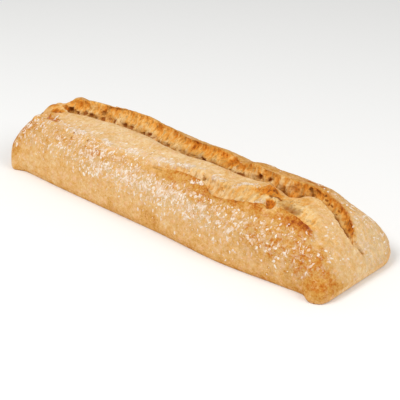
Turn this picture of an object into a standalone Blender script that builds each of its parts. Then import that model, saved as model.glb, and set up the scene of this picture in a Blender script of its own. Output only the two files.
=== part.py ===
"""A long ciabatta loaf, floured, with one lengthwise slash that has opened into a raised ear.

The loaf lies along X and rests on its flat sole. +X is the end where the slash runs out, +Y is the side
of the raised ear and +Z is up. The origin is under the middle of the loaf, on the surface it rests on.
The crust is one closed skin through many cross-sections. Each section goes round the loaf from the middle
of the sole: up the front crust, over the lip, across the torn crumb and the strip of skin in the slash,
down into the groove, up the wall of the ear, over its ridge and down the rear crust.
"""

import math

import bmesh
import bpy
import numpy as np
from mathutils import Vector, noise

# Ends of the loaf, and where the sections stand: close together in the rounded ends, evenly between.
LEFT_END = -0.1855
RIGHT_END = 0.1850
END_ROUNDING = 0.0120
END_SECTIONS = 8
MIDDLE_SECTIONS = 100

# The body, as (x, value) stations along the loaf that a smooth line joins.
FRONT_HALF_WIDTH = ((-0.1855, 0.0240), (-0.1848, 0.0350), (-0.1800, 0.0470), (-0.1710, 0.0505),
                    (-0.1590, 0.0495), (-0.1100, 0.0510), (0.0150, 0.0522), (0.0800, 0.0550),
                    (0.1450, 0.0497), (0.1600, 0.0485), (0.1730, 0.0500), (0.1800, 0.0488), (0.1835, 0.0425),
                    (0.1850, 0.0300))
REAR_HALF_WIDTH = ((-0.1855, 0.0260), (-0.1845, 0.0370), (-0.1780, 0.0455), (-0.1200, 0.0490),
                   (0.0900, 0.0515), (0.1500, 0.0500), (0.1730, 0.0480), (0.1810, 0.0408), (0.1850, 0.0280))
FRONT_CROWN = ((-0.1855, 0.0205), (-0.1850, 0.0285), (-0.1800, 0.0415), (-0.1690, 0.0480),
               (-0.1450, 0.0535), (-0.0800, 0.0555), (0.0900, 0.0550), (0.1250, 0.0530),
               (0.1500, 0.0455), (0.1680, 0.0350), (0.1800, 0.0190), (0.1845, 0.0095), (0.1850, 0.0072))
REAR_CROWN = ((-0.1855, 0.0205), (-0.1850, 0.0285), (-0.1800, 0.0425), (-0.1650, 0.0518),
              (-0.1500, 0.0578), (-0.1120, 0.0608), (-0.0940, 0.0629), (-0.0720, 0.0627),
              (-0.0570, 0.0598), (-0.0400, 0.0590), (-0.0080, 0.0570), (0.0150, 0.0572), (0.0480, 0.0536),
              (0.0580, 0.0556), (0.0660, 0.0578), (0.0780, 0.0562), (0.1000, 0.0551), (0.1250, 0.0544),
              (0.1400, 0.0490), (0.1500, 0.0450), (0.1680, 0.0359), (0.1800, 0.0195), (0.1845, 0.0095),
              (0.1850, 0.0072))
HAUNCH_HEIGHT = ((-0.1855, 0.0198), (-0.1790, 0.0120), (-0.1600, 0.0080), (0.1700, 0.0080), (0.1850, 0.0066))
SOLE_HEIGHT = ((-0.1855, 0.0191), (-0.1848, 0.0110), (-0.1800, 0.0015), (-0.1740, 0.0), (0.1760, 0.0),
               (0.1820, 0.0005), (0.1845, 0.0035), (0.1850, 0.0060))
SHOULDER_SQUARENESS = ((-0.1855, 2.0), (-0.1600, 2.3), (-0.1200, 2.6), (0.1850, 2.6))
FOOT_FLARE = ((-0.1830, 0.0), (-0.1740, 0.0035), (-0.1600, 0.0), (0.1620, 0.0), (0.1725, 0.0036),
              (0.1800, 0.0022), (0.1850, 0.0))

# The slash: where it opens and closes along x, where its edges run across the loaf, and their heights.
SLASH_START = (-0.1700, -0.1480)
SLASH_END = (0.1690, 0.1762)
TEAR_START = (-0.0250, 0.0050)
CREST_LINE = ((-0.1500, 0.0100), (-0.1250, 0.0175), (-0.0850, 0.0265), (-0.0450, 0.0250),
              (-0.0100, 0.0175), (0.0150, 0.0180), (0.0370, 0.0210), (0.0540, 0.0115), (0.0850, 0.0130),
              (0.1250, 0.0148), (0.1380, 0.0168), (0.1480, 0.0165), (0.1545, 0.0142), (0.1610, 0.0105),
              (0.1670, 0.0063), (0.1715, 0.0022), (0.1740, 0.0))
GROOVE_LINE = ((-0.1510, 0.0030), (-0.1150, 0.0130), (-0.0860, 0.0155), (-0.0510, 0.0130),
               (-0.0050, 0.0060), (0.0500, 0.0060), (0.0850, 0.0085), (0.1260, 0.0112), (0.1400, 0.0096),
               (0.1475, 0.0084), (0.1560, 0.0046), (0.1620, 0.0022), (0.1680, -0.0002), (0.1740, -0.0012))
GROOVE_HEIGHT = ((-0.1600, 0.0450), (-0.1450, 0.0400), (-0.0800, 0.0390), (0.0400, 0.0410),
                 (0.0800, 0.0395), (0.1260, 0.0380), (0.1530, 0.0315), (0.1680, 0.0262), (0.1740, 0.0215))
LIP_LINE = ((-0.0600, -0.0300), (-0.0060, -0.0340), (0.0250, -0.0310), (0.0480, -0.0320),
            (0.0680, -0.0395), (0.0980, -0.0350), (0.1200, -0.0270), (0.1500, -0.0250), (0.1620, -0.0300))
LIP_LIFT = ((-0.0300, 0.0), (-0.0050, 0.0018), (0.1000, 0.0024), (0.1350, 0.0020), (0.1550, 0.0))
TEAR_DEPTH = ((-0.0300, 0.0), (0.0050, 0.0050), (0.0550, 0.0065), (0.0880, 0.0060), (0.1000, 0.0008),
              (0.1090, 0.0010), (0.1190, 0.0040), (0.1350, 0.0026), (0.1550, 0.0))
STRIP_FRONT_LINE = ((-0.1300, -0.0240), (-0.0050, -0.0275), (0.0230, -0.0175), (0.0700, -0.0205),
                    (0.0920, -0.0090), (0.1250, -0.0130), (0.1730, -0.0120))
STRIP_SAG = ((-0.1500, 0.0022), (-0.0500, 0.0022), (0.0100, 0.0036), (0.0850, 0.0030), (0.0960, 0.0050),
             (0.1080, 0.0090), (0.1220, 0.0085), (0.1360, 0.0055), (0.1500, 0.0025), (0.1680, 0.0010))
LIP_ROOT = 0.0060
LIP_ROOT_LIFT_SHARE = 0.45
LIP_THICKNESS = 0.0014
TEAR_FOOT_SHARE = 0.75
STRIP_FRONT_SAG_SHARE = 0.5
STRIP_STEP = ((-0.1500, 0.0058), (-0.1350, 0.0046), (-0.1000, 0.0048), (-0.0500, 0.0062), (0.0100, 0.0052),
              (0.0850, 0.0056), (0.0980, 0.0040), (0.1080, 0.0020), (0.1220, 0.0086), (0.1300, 0.0098),
              (0.1480, 0.0095), (0.1600, 0.0086), (0.1680, 0.0072), (0.1740, 0.0068))
GROOVE_HALF_WIDTH = 0.0020
WALL_FOOT_HEIGHT = ((-0.1500, 0.0060), (0.1480, 0.0060), (0.1620, 0.0042), (0.1740, 0.0022))
EAR_THICKNESS = 0.0050
EAR_EDGE_ROUNDING = 0.0024
EAR_OVERHANG = 0.0006
CLOSED_WALL_WIDTH = 0.0015
CLOSED_CREST_WIDTH = 0.0022

# The points round a section, with the steps of the skin from each to the next and how craggy it is there.
SECTION_POINTS = (
    ("sole_middle", 2, 0.0), ("sole_front", 1, 0.0), ("undercut_front", 1, 0.0), ("haunch_front", 2, 0.0),
    ("flank_low_front", 2, 0.0), ("flank_front", 2, 0.0), ("shoulder_front", 3, 0.0), ("lip_root", 2, 0.0),
    ("lip", 1, 0.2), ("tear_foot", 2, 0.8), ("tear_floor", 3, 0.8), ("strip_front", 2, 0.1),
    ("strip_middle", 2, 0.0), ("strip_rear", 1, 0.1), ("groove", 1, 0.7), ("wall_foot", 3, 1.0),
    ("wall_head", 1, 0.8), ("crest", 2, 0.3), ("ridge", 3, 0.0), ("shoulder_rear", 2, 0.0),
    ("flank_rear", 2, 0.0), ("flank_low_rear", 2, 0.0), ("haunch_rear", 1, 0.0), ("undercut_rear", 1, 0.0),
    ("sole_rear", 2, 0.0), ("sole_close", 0, 0.0))
TEAR_POINTS = ("lip", "tear_foot", "tear_floor", "strip_front")
FLANK_SHARES = {"flank_low": 0.97, "flank": 0.88, "shoulder": 0.74}
REAR_FLANK_SHARES = {"flank_low": 0.94, "flank": 0.82, "shoulder": 0.66}
HAUNCH_SQUARENESS = 2.2
SOLE_INSET = 0.0030
REAR_SOLE_INSET = 0.0060
UNDERCUT = 0.0010
REAR_UNDERCUT = 0.0020
UNDERCUT_SHARE = 0.32
NARROW_WIDTH = 0.0470
LIP_ROOT_SHARE = 0.72
STRIP_MIDDLE_SHARE = 0.55

# Bumps (height above 0) and hollows (height below 0) of the crust: centre, radius, height.
BUMPS_AND_HOLLOWS = (
    # The lumps of the left end, the dents between them and the round start of the ear.
    ((-0.1700, -0.0025, 0.0490), 0.0130, 0.0045),
    ((-0.1680, -0.0235, 0.0440), 0.0085, 0.0026),
    ((-0.1610, -0.0150, 0.0480), 0.0050, -0.0016),
    ((-0.1520, -0.0185, 0.0490), 0.0055, -0.0020),
    ((-0.1540, 0.0170, 0.0560), 0.0110, 0.0025),
    # The toasted bump where the tear meets the groove, the crack before it, and the lobe beside the lip.
    ((0.0985, -0.0085, 0.0490), 0.0085, 0.0045),
    ((0.1070, -0.0125, 0.0470), 0.0050, -0.0040),
    ((0.1020, -0.0215, 0.0480), 0.0095, 0.0016),
    # The swell of crumb before the slash closes.
    ((0.1330, -0.0020, 0.0460), 0.0180, 0.0020),
    # The large pockets in the wall of the ear.
    ((0.1080, 0.0100, 0.0470), 0.0070, -0.0028),
    ((0.1240, 0.0150, 0.0480), 0.0065, -0.0030),
    ((-0.1520, 0.0060, 0.0465), 0.0060, -0.0040),
    ((-0.1130, 0.0150, 0.0450), 0.0055, -0.0030),
    ((-0.0540, 0.0150, 0.0440), 0.0060, -0.0030),
    ((0.0150, 0.0100, 0.0450), 0.0060, -0.0030))

# Low waves of the whole crust, and crags of the torn crumb: height and length of a wave.
WAVE_HEIGHT = 0.0011
WAVE_LENGTH = 0.0330
CRAG_HEIGHT = 0.0018
CRAG_LENGTH = 0.0075
FLAT_SOLE_HEIGHT = 0.0080


def smooth_line(places, values, at):
    """Values at the places in at of smooth lines through the rows of values, with no overshoot."""
    step = np.diff(places)[:, None]
    rise = np.diff(values, axis=0) / step
    before, after = rise[:-1], rise[1:]
    weight_before = (2.0 * step[1:] + step[:-1]) * np.ones_like(before)
    weight_after = (step[1:] + 2.0 * step[:-1]) * np.ones_like(before)
    same_way = before * after > 0.0
    middle = np.zeros_like(before)
    middle[same_way] = (weight_before + weight_after)[same_way] / (
        weight_before[same_way] / before[same_way] + weight_after[same_way] / after[same_way])
    slope = np.concatenate((rise[:1], middle, rise[-1:]))
    cell = np.clip(np.searchsorted(places, at, side="right") - 1, 0, len(step) - 1)
    width = step[cell]
    share = np.clip((at - places[cell])[:, None] / width, 0.0, 1.0)
    rest = 1.0 - share
    return (values[cell] * (1.0 + 2.0 * share) * rest ** 2 + slope[cell] * width * share * rest ** 2
            + values[cell + 1] * share ** 2 * (3.0 - 2.0 * share)
            - slope[cell + 1] * width * share ** 2 * rest)


def along(stations, x):
    """Value at each x of the smooth line through (x, value) stations."""
    places, values = np.array(stations).T
    return smooth_line(places, values[:, None], x)[:, 0]


def ease(x, start, end):
    """0 before start, 1 after end, and a smooth rise between."""
    share = np.clip((x - start) / (end - start), 0.0, 1.0)
    return share * share * (3.0 - 2.0 * share)


def section_places():
    """The x of every section, from the left end to the right."""
    turn = 1.0 - np.cos(np.linspace(0.0, math.pi / 2.0, END_SECTIONS + 1))[:-1]
    left = LEFT_END + END_ROUNDING * turn
    right = RIGHT_END - END_ROUNDING * turn
    middle = np.linspace(LEFT_END + END_ROUNDING, RIGHT_END - END_ROUNDING, MIDDLE_SECTIONS)
    return np.concatenate((left, middle, right[::-1]))


def slash_opening(x):
    """How far the slash has opened at each x, from 0 to 1."""
    return ease(x, *SLASH_START) * (1.0 - ease(x, *SLASH_END))


def section_outline(x):
    """The y and z of every named point of the sections at x."""
    front, rear = along(FRONT_HALF_WIDTH, x), along(REAR_HALF_WIDTH, x)
    haunch, sole = along(HAUNCH_HEIGHT, x), along(SOLE_HEIGHT, x)
    squareness = along(SHOULDER_SQUARENESS, x)
    opening = slash_opening(x)
    flare = along(FOOT_FLARE, x)
    pinch = np.minimum(1.0, front / NARROW_WIDTH)

    def surface(y, crown):
        share = np.abs(np.where(y < 0.0, y / front, y / rear))
        arch = np.clip(1.0 - share ** squareness, 0.0, 1.0) ** (1.0 / HAUNCH_SQUARENESS)
        return haunch + (crown - haunch) * arch

    def front_surface(y):
        return surface(y, along(FRONT_CROWN, x))

    def rear_surface(y):
        return surface(y, along(REAR_CROWN, x))

    def opened(closed_value, open_value):
        return closed_value + (open_value - closed_value) * opening

    undercut_height = sole + (haunch - sole) * UNDERCUT_SHARE
    points = {
        "sole_middle": (0.0 * x, sole), "sole_close": (0.0 * x, sole),
        "sole_front": (SOLE_INSET - front - flare, sole), "sole_rear": (rear - REAR_SOLE_INSET, sole),
        "undercut_front": (UNDERCUT - front - flare, undercut_height),
        "undercut_rear": (rear - REAR_UNDERCUT, undercut_height),
        "haunch_front": (-front - flare / 2.0, haunch), "haunch_rear": (rear, haunch)}
    for name, share in FLANK_SHARES.items():
        points[name + "_front"] = (-front * share, front_surface(-front * share))
    for name, share in REAR_FLANK_SHARES.items():
        points[name + "_rear"] = (rear * share, rear_surface(rear * share))

    lip, strip = along(LIP_LINE, x) * pinch, along(STRIP_FRONT_LINE, x) * pinch
    lift, tear = along(LIP_LIFT, x), along(TEAR_DEPTH, x)
    sag = along(STRIP_SAG, x) * opening
    root = np.maximum(lip - LIP_ROOT, -front * LIP_ROOT_SHARE)
    foot = lip + LIP_THICKNESS
    floor = (lip + strip) / 2.0
    points["lip_root"] = (root, front_surface(root) + LIP_ROOT_LIFT_SHARE * lift)
    points["lip"] = (lip, front_surface(lip) + lift)
    points["tear_foot"] = (foot, front_surface(foot) - TEAR_FOOT_SHARE * tear)
    points["tear_floor"] = (floor, front_surface(floor) - tear)
    points["strip_front"] = (strip, front_surface(strip) - sag * STRIP_FRONT_SAG_SHARE)

    groove, crest = along(GROOVE_LINE, x) * pinch, along(CREST_LINE, x) * pinch
    groove_height = along(GROOVE_HEIGHT, x)
    strip_middle = strip + (groove - strip) * STRIP_MIDDLE_SHARE
    strip_rear = groove - GROOVE_HALF_WIDTH
    strip_rear_height = opened(front_surface(strip_rear), groove_height + along(STRIP_STEP, x))
    points["strip_middle"] = (strip_middle, front_surface(strip_middle) - sag)
    points["strip_rear"] = (strip_rear, strip_rear_height)
    points["groove"] = (groove, opened(front_surface(groove), groove_height))

    wall_foot = groove + GROOVE_HALF_WIDTH / 2.0
    wall_head = opened(groove + CLOSED_WALL_WIDTH, crest - EAR_OVERHANG)
    crest_height = rear_surface(crest)
    crest = opened(groove + CLOSED_CREST_WIDTH, crest)
    ridge = crest + EAR_THICKNESS
    foot_height = groove_height + along(WALL_FOOT_HEIGHT, x)
    points["wall_foot"] = (wall_foot, opened(rear_surface(wall_foot), foot_height))
    points["wall_head"] = (wall_head, opened(rear_surface(wall_head), crest_height - EAR_EDGE_ROUNDING))
    points["crest"] = (crest, opened(rear_surface(crest), crest_height))
    points["ridge"] = (ridge, rear_surface(ridge))
    return points


def section_rings(x):
    """The skin's points, one ring for each x, and how craggy the skin is at each."""
    outline = section_outline(x)
    steps = np.cumsum([0] + [step for _, step, _ in SECTION_POINTS[:-1]]).astype(float)
    around = np.arange(steps[-1])
    opening = slash_opening(x)
    torn = opening * ease(x, *TEAR_START)
    values = {
        "y": [outline[name][0] for name, _, _ in SECTION_POINTS],
        "z": [outline[name][1] for name, _, _ in SECTION_POINTS],
        "crag": [crag * (torn if name in TEAR_POINTS else opening) for name, _, crag in SECTION_POINTS]}
    y, z, crag = (smooth_line(steps, np.array(values[key]), around).T for key in ("y", "z", "crag"))
    return np.stack((np.broadcast_to(x[:, None], y.shape), y, z), axis=2), crag


def relief(place, crag):
    """Height of the crust's waves, crags, bumps and hollows at a place on the skin."""
    high = WAVE_HEIGHT * noise.noise(place / WAVE_LENGTH)
    high += CRAG_HEIGHT * crag * noise.noise(place / CRAG_LENGTH)
    for centre, radius, height in BUMPS_AND_HOLLOWS:
        near = 1.0 - (place - Vector(centre)).length_squared / radius ** 2
        if near > 0.0:
            high += height * near ** 2
    return high * ease(place.z, 0.0, FLAT_SOLE_HEIGHT)


def closed_loop(skin, ring):
    """The verts and the edges of one section in the skin."""
    verts = [skin.verts.new(place) for place in ring]
    return verts, [skin.edges.new((verts[step - 1], verts[step])) for step in range(len(verts))]


def loaf_mesh():
    """The loaf's closed skin."""
    rings, crags = section_rings(section_places())
    skin = bmesh.new()
    loops = [closed_loop(skin, ring) for ring in rings]
    for (_, this_edges), (_, next_edges) in zip(loops[:-1], loops[1:]):
        bmesh.ops.bridge_loops(skin, edges=this_edges + next_edges)
    ends = bmesh.ops.edgeloop_fill(skin, edges=loops[0][1] + loops[-1][1])["faces"]
    bmesh.ops.recalc_face_normals(skin, faces=skin.faces)
    skin.normal_update()
    heights = [relief(vert.co, crag) for vert, crag in zip(skin.verts, crags.ravel())]
    for vert, height in zip(skin.verts, heights):
        vert.co += vert.normal * height
    bmesh.ops.triangulate(skin, faces=ends)
    mesh = bpy.data.meshes.new("loaf")
    skin.to_mesh(mesh)
    skin.free()
    mesh.shade_smooth()
    return mesh


def stand_on_origin(mesh):
    """Move the mesh so that the origin is under the middle of its box, at its lowest point."""
    places = np.array([vert.co for vert in mesh.vertices])
    low, high = places.min(axis=0), places.max(axis=0)
    middle = (low + high) / 2.0
    for vert in mesh.vertices:
        vert.co -= Vector((middle[0], middle[1], low[2]))


def crust_material():
    """Pale, floured, lightly baked crust."""
    material = bpy.data.materials.new("crust")
    material.use_nodes = True
    shader = material.node_tree.nodes["Principled BSDF"]
    shader.inputs["Base Color"].default_value = (0.72, 0.47, 0.22, 1.0)
    shader.inputs["Roughness"].default_value = 0.75
    shader.inputs["Metallic"].default_value = 0.0
    return material


def main():
    """Clear the scene and model the loaf."""
    for old in list(bpy.data.objects):
        bpy.data.objects.remove(old, do_unlink=True)
    mesh = loaf_mesh()
    stand_on_origin(mesh)
    mesh.materials.append(crust_material())
    loaf = bpy.data.objects.new("loaf", mesh)
    bpy.context.scene.collection.objects.link(loaf)


main()
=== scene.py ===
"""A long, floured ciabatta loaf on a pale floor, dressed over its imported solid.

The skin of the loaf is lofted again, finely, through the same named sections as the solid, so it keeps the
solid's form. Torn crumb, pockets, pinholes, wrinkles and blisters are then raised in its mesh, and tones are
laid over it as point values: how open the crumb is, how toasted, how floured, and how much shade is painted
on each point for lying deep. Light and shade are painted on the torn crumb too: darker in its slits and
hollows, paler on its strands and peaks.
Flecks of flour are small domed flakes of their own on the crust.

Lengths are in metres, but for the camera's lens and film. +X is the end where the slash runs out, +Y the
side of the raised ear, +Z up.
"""

from __future__ import annotations

import logging
import math
from dataclasses import dataclass, field
from enum import Enum
from typing import Mapping, Sequence

import bpy
import numpy as np
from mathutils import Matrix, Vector, noise


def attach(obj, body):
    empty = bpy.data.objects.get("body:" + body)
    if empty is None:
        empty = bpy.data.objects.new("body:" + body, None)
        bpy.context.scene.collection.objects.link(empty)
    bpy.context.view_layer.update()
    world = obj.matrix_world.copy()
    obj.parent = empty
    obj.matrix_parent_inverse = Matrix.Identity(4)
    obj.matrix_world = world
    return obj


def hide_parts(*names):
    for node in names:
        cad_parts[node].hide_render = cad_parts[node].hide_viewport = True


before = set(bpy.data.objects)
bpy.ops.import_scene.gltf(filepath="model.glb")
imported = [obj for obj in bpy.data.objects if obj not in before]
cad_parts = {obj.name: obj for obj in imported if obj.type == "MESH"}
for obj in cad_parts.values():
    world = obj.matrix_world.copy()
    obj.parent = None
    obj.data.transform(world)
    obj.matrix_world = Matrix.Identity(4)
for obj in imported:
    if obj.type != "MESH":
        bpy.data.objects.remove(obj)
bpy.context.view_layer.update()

LOG = logging.getLogger("ciabatta")
Stations = tuple[tuple[float, float], ...]
Place = tuple[float, float, float]
Colour = tuple[float, float, float]

# The point value that tells the flour's finish how pink or brown each flake is.
FLECK_TINT = "tint"
# The square of a line's length, in square metres, below which the line counts as a point.
SHORTEST_LINE = 1e-12
# Where the mix node takes its share and its two colours, and where it gives the result.
MIX_SHARE, MIX_FIRST, MIX_SECOND = 0, 6, 7
MIX_RESULT = 2
# The curve by which a screen turns its values into light.
SCREEN_WHITE = 255.0
CURVE_SHIFT = 0.055
CURVE_POWER = 2.4


class Tone(Enum):
    """The point values that tell the crust's finish what each point of the skin is like."""

    CRUMB = "crumb"
    TOAST = "toast"
    FLOUR = "flour"
    # Painted shade, for how deep a point lies in a groove, crease, cleft or pocket.
    DEPTH = "depth"


def smooth_line(places: np.ndarray, values: np.ndarray, at: np.ndarray) -> np.ndarray:
    """Smooth lines through rows of values, with no overshoot.

    Args:
        places: Where the rows stand, rising.
        values: One row of values for each place.
        at: Where the lines are read.

    Returns:
        One row of values for each entry of at.
    """
    step = np.diff(places)[:, None]
    rise = np.diff(values, axis=0) / step
    before, after = rise[:-1], rise[1:]
    weight_before = (2.0 * step[1:] + step[:-1]) * np.ones_like(before)
    weight_after = (step[1:] + 2.0 * step[:-1]) * np.ones_like(before)
    same_way = before * after > 0.0
    middle = np.zeros_like(before)
    middle[same_way] = (weight_before + weight_after)[same_way] / (
        weight_before[same_way] / before[same_way] + weight_after[same_way] / after[same_way])
    slope = np.concatenate((rise[:1], middle, rise[-1:]))
    cell = np.clip(np.searchsorted(places, at, side="right") - 1, 0, len(step) - 1)
    width = step[cell]
    share = np.clip((at - places[cell])[:, None] / width, 0.0, 1.0)
    rest = 1.0 - share
    return (values[cell] * (1.0 + 2.0 * share) * rest ** 2 + slope[cell] * width * share * rest ** 2
            + values[cell + 1] * share ** 2 * (3.0 - 2.0 * share)
            - slope[cell + 1] * width * share ** 2 * rest)


def along(stations: Stations, x: np.ndarray) -> np.ndarray:
    """The smooth line through (x, value) stations, read at x.

    Args:
        stations: The (x, value) pairs, with x rising. A single pair is the same all along.
        x: Where the line is read.

    Returns:
        One value for each x.
    """
    places, values = np.array(stations).T
    if len(places) == 1:
        return np.full(x.shape, values[0])
    return smooth_line(places, values[:, None], x)[:, 0]


def ease(x: np.ndarray, start: float, end: float) -> np.ndarray:
    """A smooth rise.

    Args:
        x: Where it is read.
        start: Where it leaves 0.
        end: Where it reaches 1.

    Returns:
        One value between 0 and 1 for each x.
    """
    share = np.clip((x - start) / (end - start), 0.0, 1.0)
    return share * share * (3.0 - 2.0 * share)


def grain(places: np.ndarray, lengths: Sequence[float], seed: float) -> np.ndarray:
    """Smooth unevenness in space.

    Args:
        places: Points, one to a row.
        lengths: The length of a wave along X, Y and Z.
        seed: A shift that makes one grain differ from the next.

    Returns:
        One value between -1 and 1 for each point.
    """
    scaled = places / np.array(lengths) + seed
    return np.array([noise.noise(place) for place in scaled.tolist()])


def cells(places: np.ndarray, lengths: Sequence[float], seed: float) -> np.ndarray:
    """Distance to the nearest of scattered cell centres, in cell sizes.

    Args:
        places: Points, one to a row.
        lengths: The size of a cell along X, Y and Z.
        seed: A shift that makes one set of cells differ from the next.

    Returns:
        One distance for each point, 0 at a cell's centre.
    """
    scaled = places / np.array(lengths) + seed
    return np.array([noise.voronoi(place)[0][0] for place in scaled.tolist()])


def nearness(places: np.ndarray, centre: Place, radius: float) -> np.ndarray:
    """How near points are to a centre.

    Args:
        places: Points, one to a row.
        centre: The centre.
        radius: How far its reach goes.

    Returns:
        1 at the centre, falling to 0 at the radius and beyond.
    """
    gap = ((places - np.array(centre)) ** 2).sum(axis=1)
    return np.clip(1.0 - gap / radius ** 2, 0.0, 1.0)


@dataclass(frozen=True)
class SectionPoint:
    """A named point of the loaf's sections.

    Attributes:
        name: Its name.
        steps: Its distance to the next point on the scale that the smooth line round the section uses.
        fine: How many steps of the fine skin there are from it to the next.
        crag: How craggy the skin is there, from 0 to 1.
    """

    name: str
    steps: int
    fine: int
    crag: float


SECTION = (
    SectionPoint("sole_middle", 2, 5, 0.0), SectionPoint("sole_front", 1, 3, 0.0),
    SectionPoint("undercut_front", 1, 5, 0.0), SectionPoint("haunch_front", 2, 8, 0.0),
    SectionPoint("flank_low_front", 2, 12, 0.0), SectionPoint("flank_front", 2, 15, 0.0),
    SectionPoint("shoulder_front", 3, 4, 0.0), SectionPoint("lip_root", 2, 9, 0.0),
    SectionPoint("lip", 1, 6, 0.2), SectionPoint("tear_foot", 2, 9, 0.8),
    SectionPoint("tear_floor", 3, 11, 0.8), SectionPoint("strip_front", 2, 13, 0.1),
    SectionPoint("strip_middle", 2, 12, 0.0), SectionPoint("strip_rear", 1, 7, 0.1),
    SectionPoint("groove", 1, 7, 0.7), SectionPoint("wall_foot", 3, 20, 1.0),
    SectionPoint("wall_head", 1, 4, 0.8), SectionPoint("crest", 2, 7, 0.3),
    SectionPoint("ridge", 3, 10, 0.0), SectionPoint("shoulder_rear", 2, 9, 0.0),
    SectionPoint("flank_rear", 2, 8, 0.0), SectionPoint("flank_low_rear", 2, 5, 0.0),
    SectionPoint("haunch_rear", 1, 4, 0.0), SectionPoint("undercut_rear", 1, 2, 0.0),
    SectionPoint("sole_rear", 2, 5, 0.0), SectionPoint("sole_close", 0, 0, 0.0))
TEAR_NAMES = ("lip", "tear_foot", "tear_floor", "strip_front")


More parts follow.
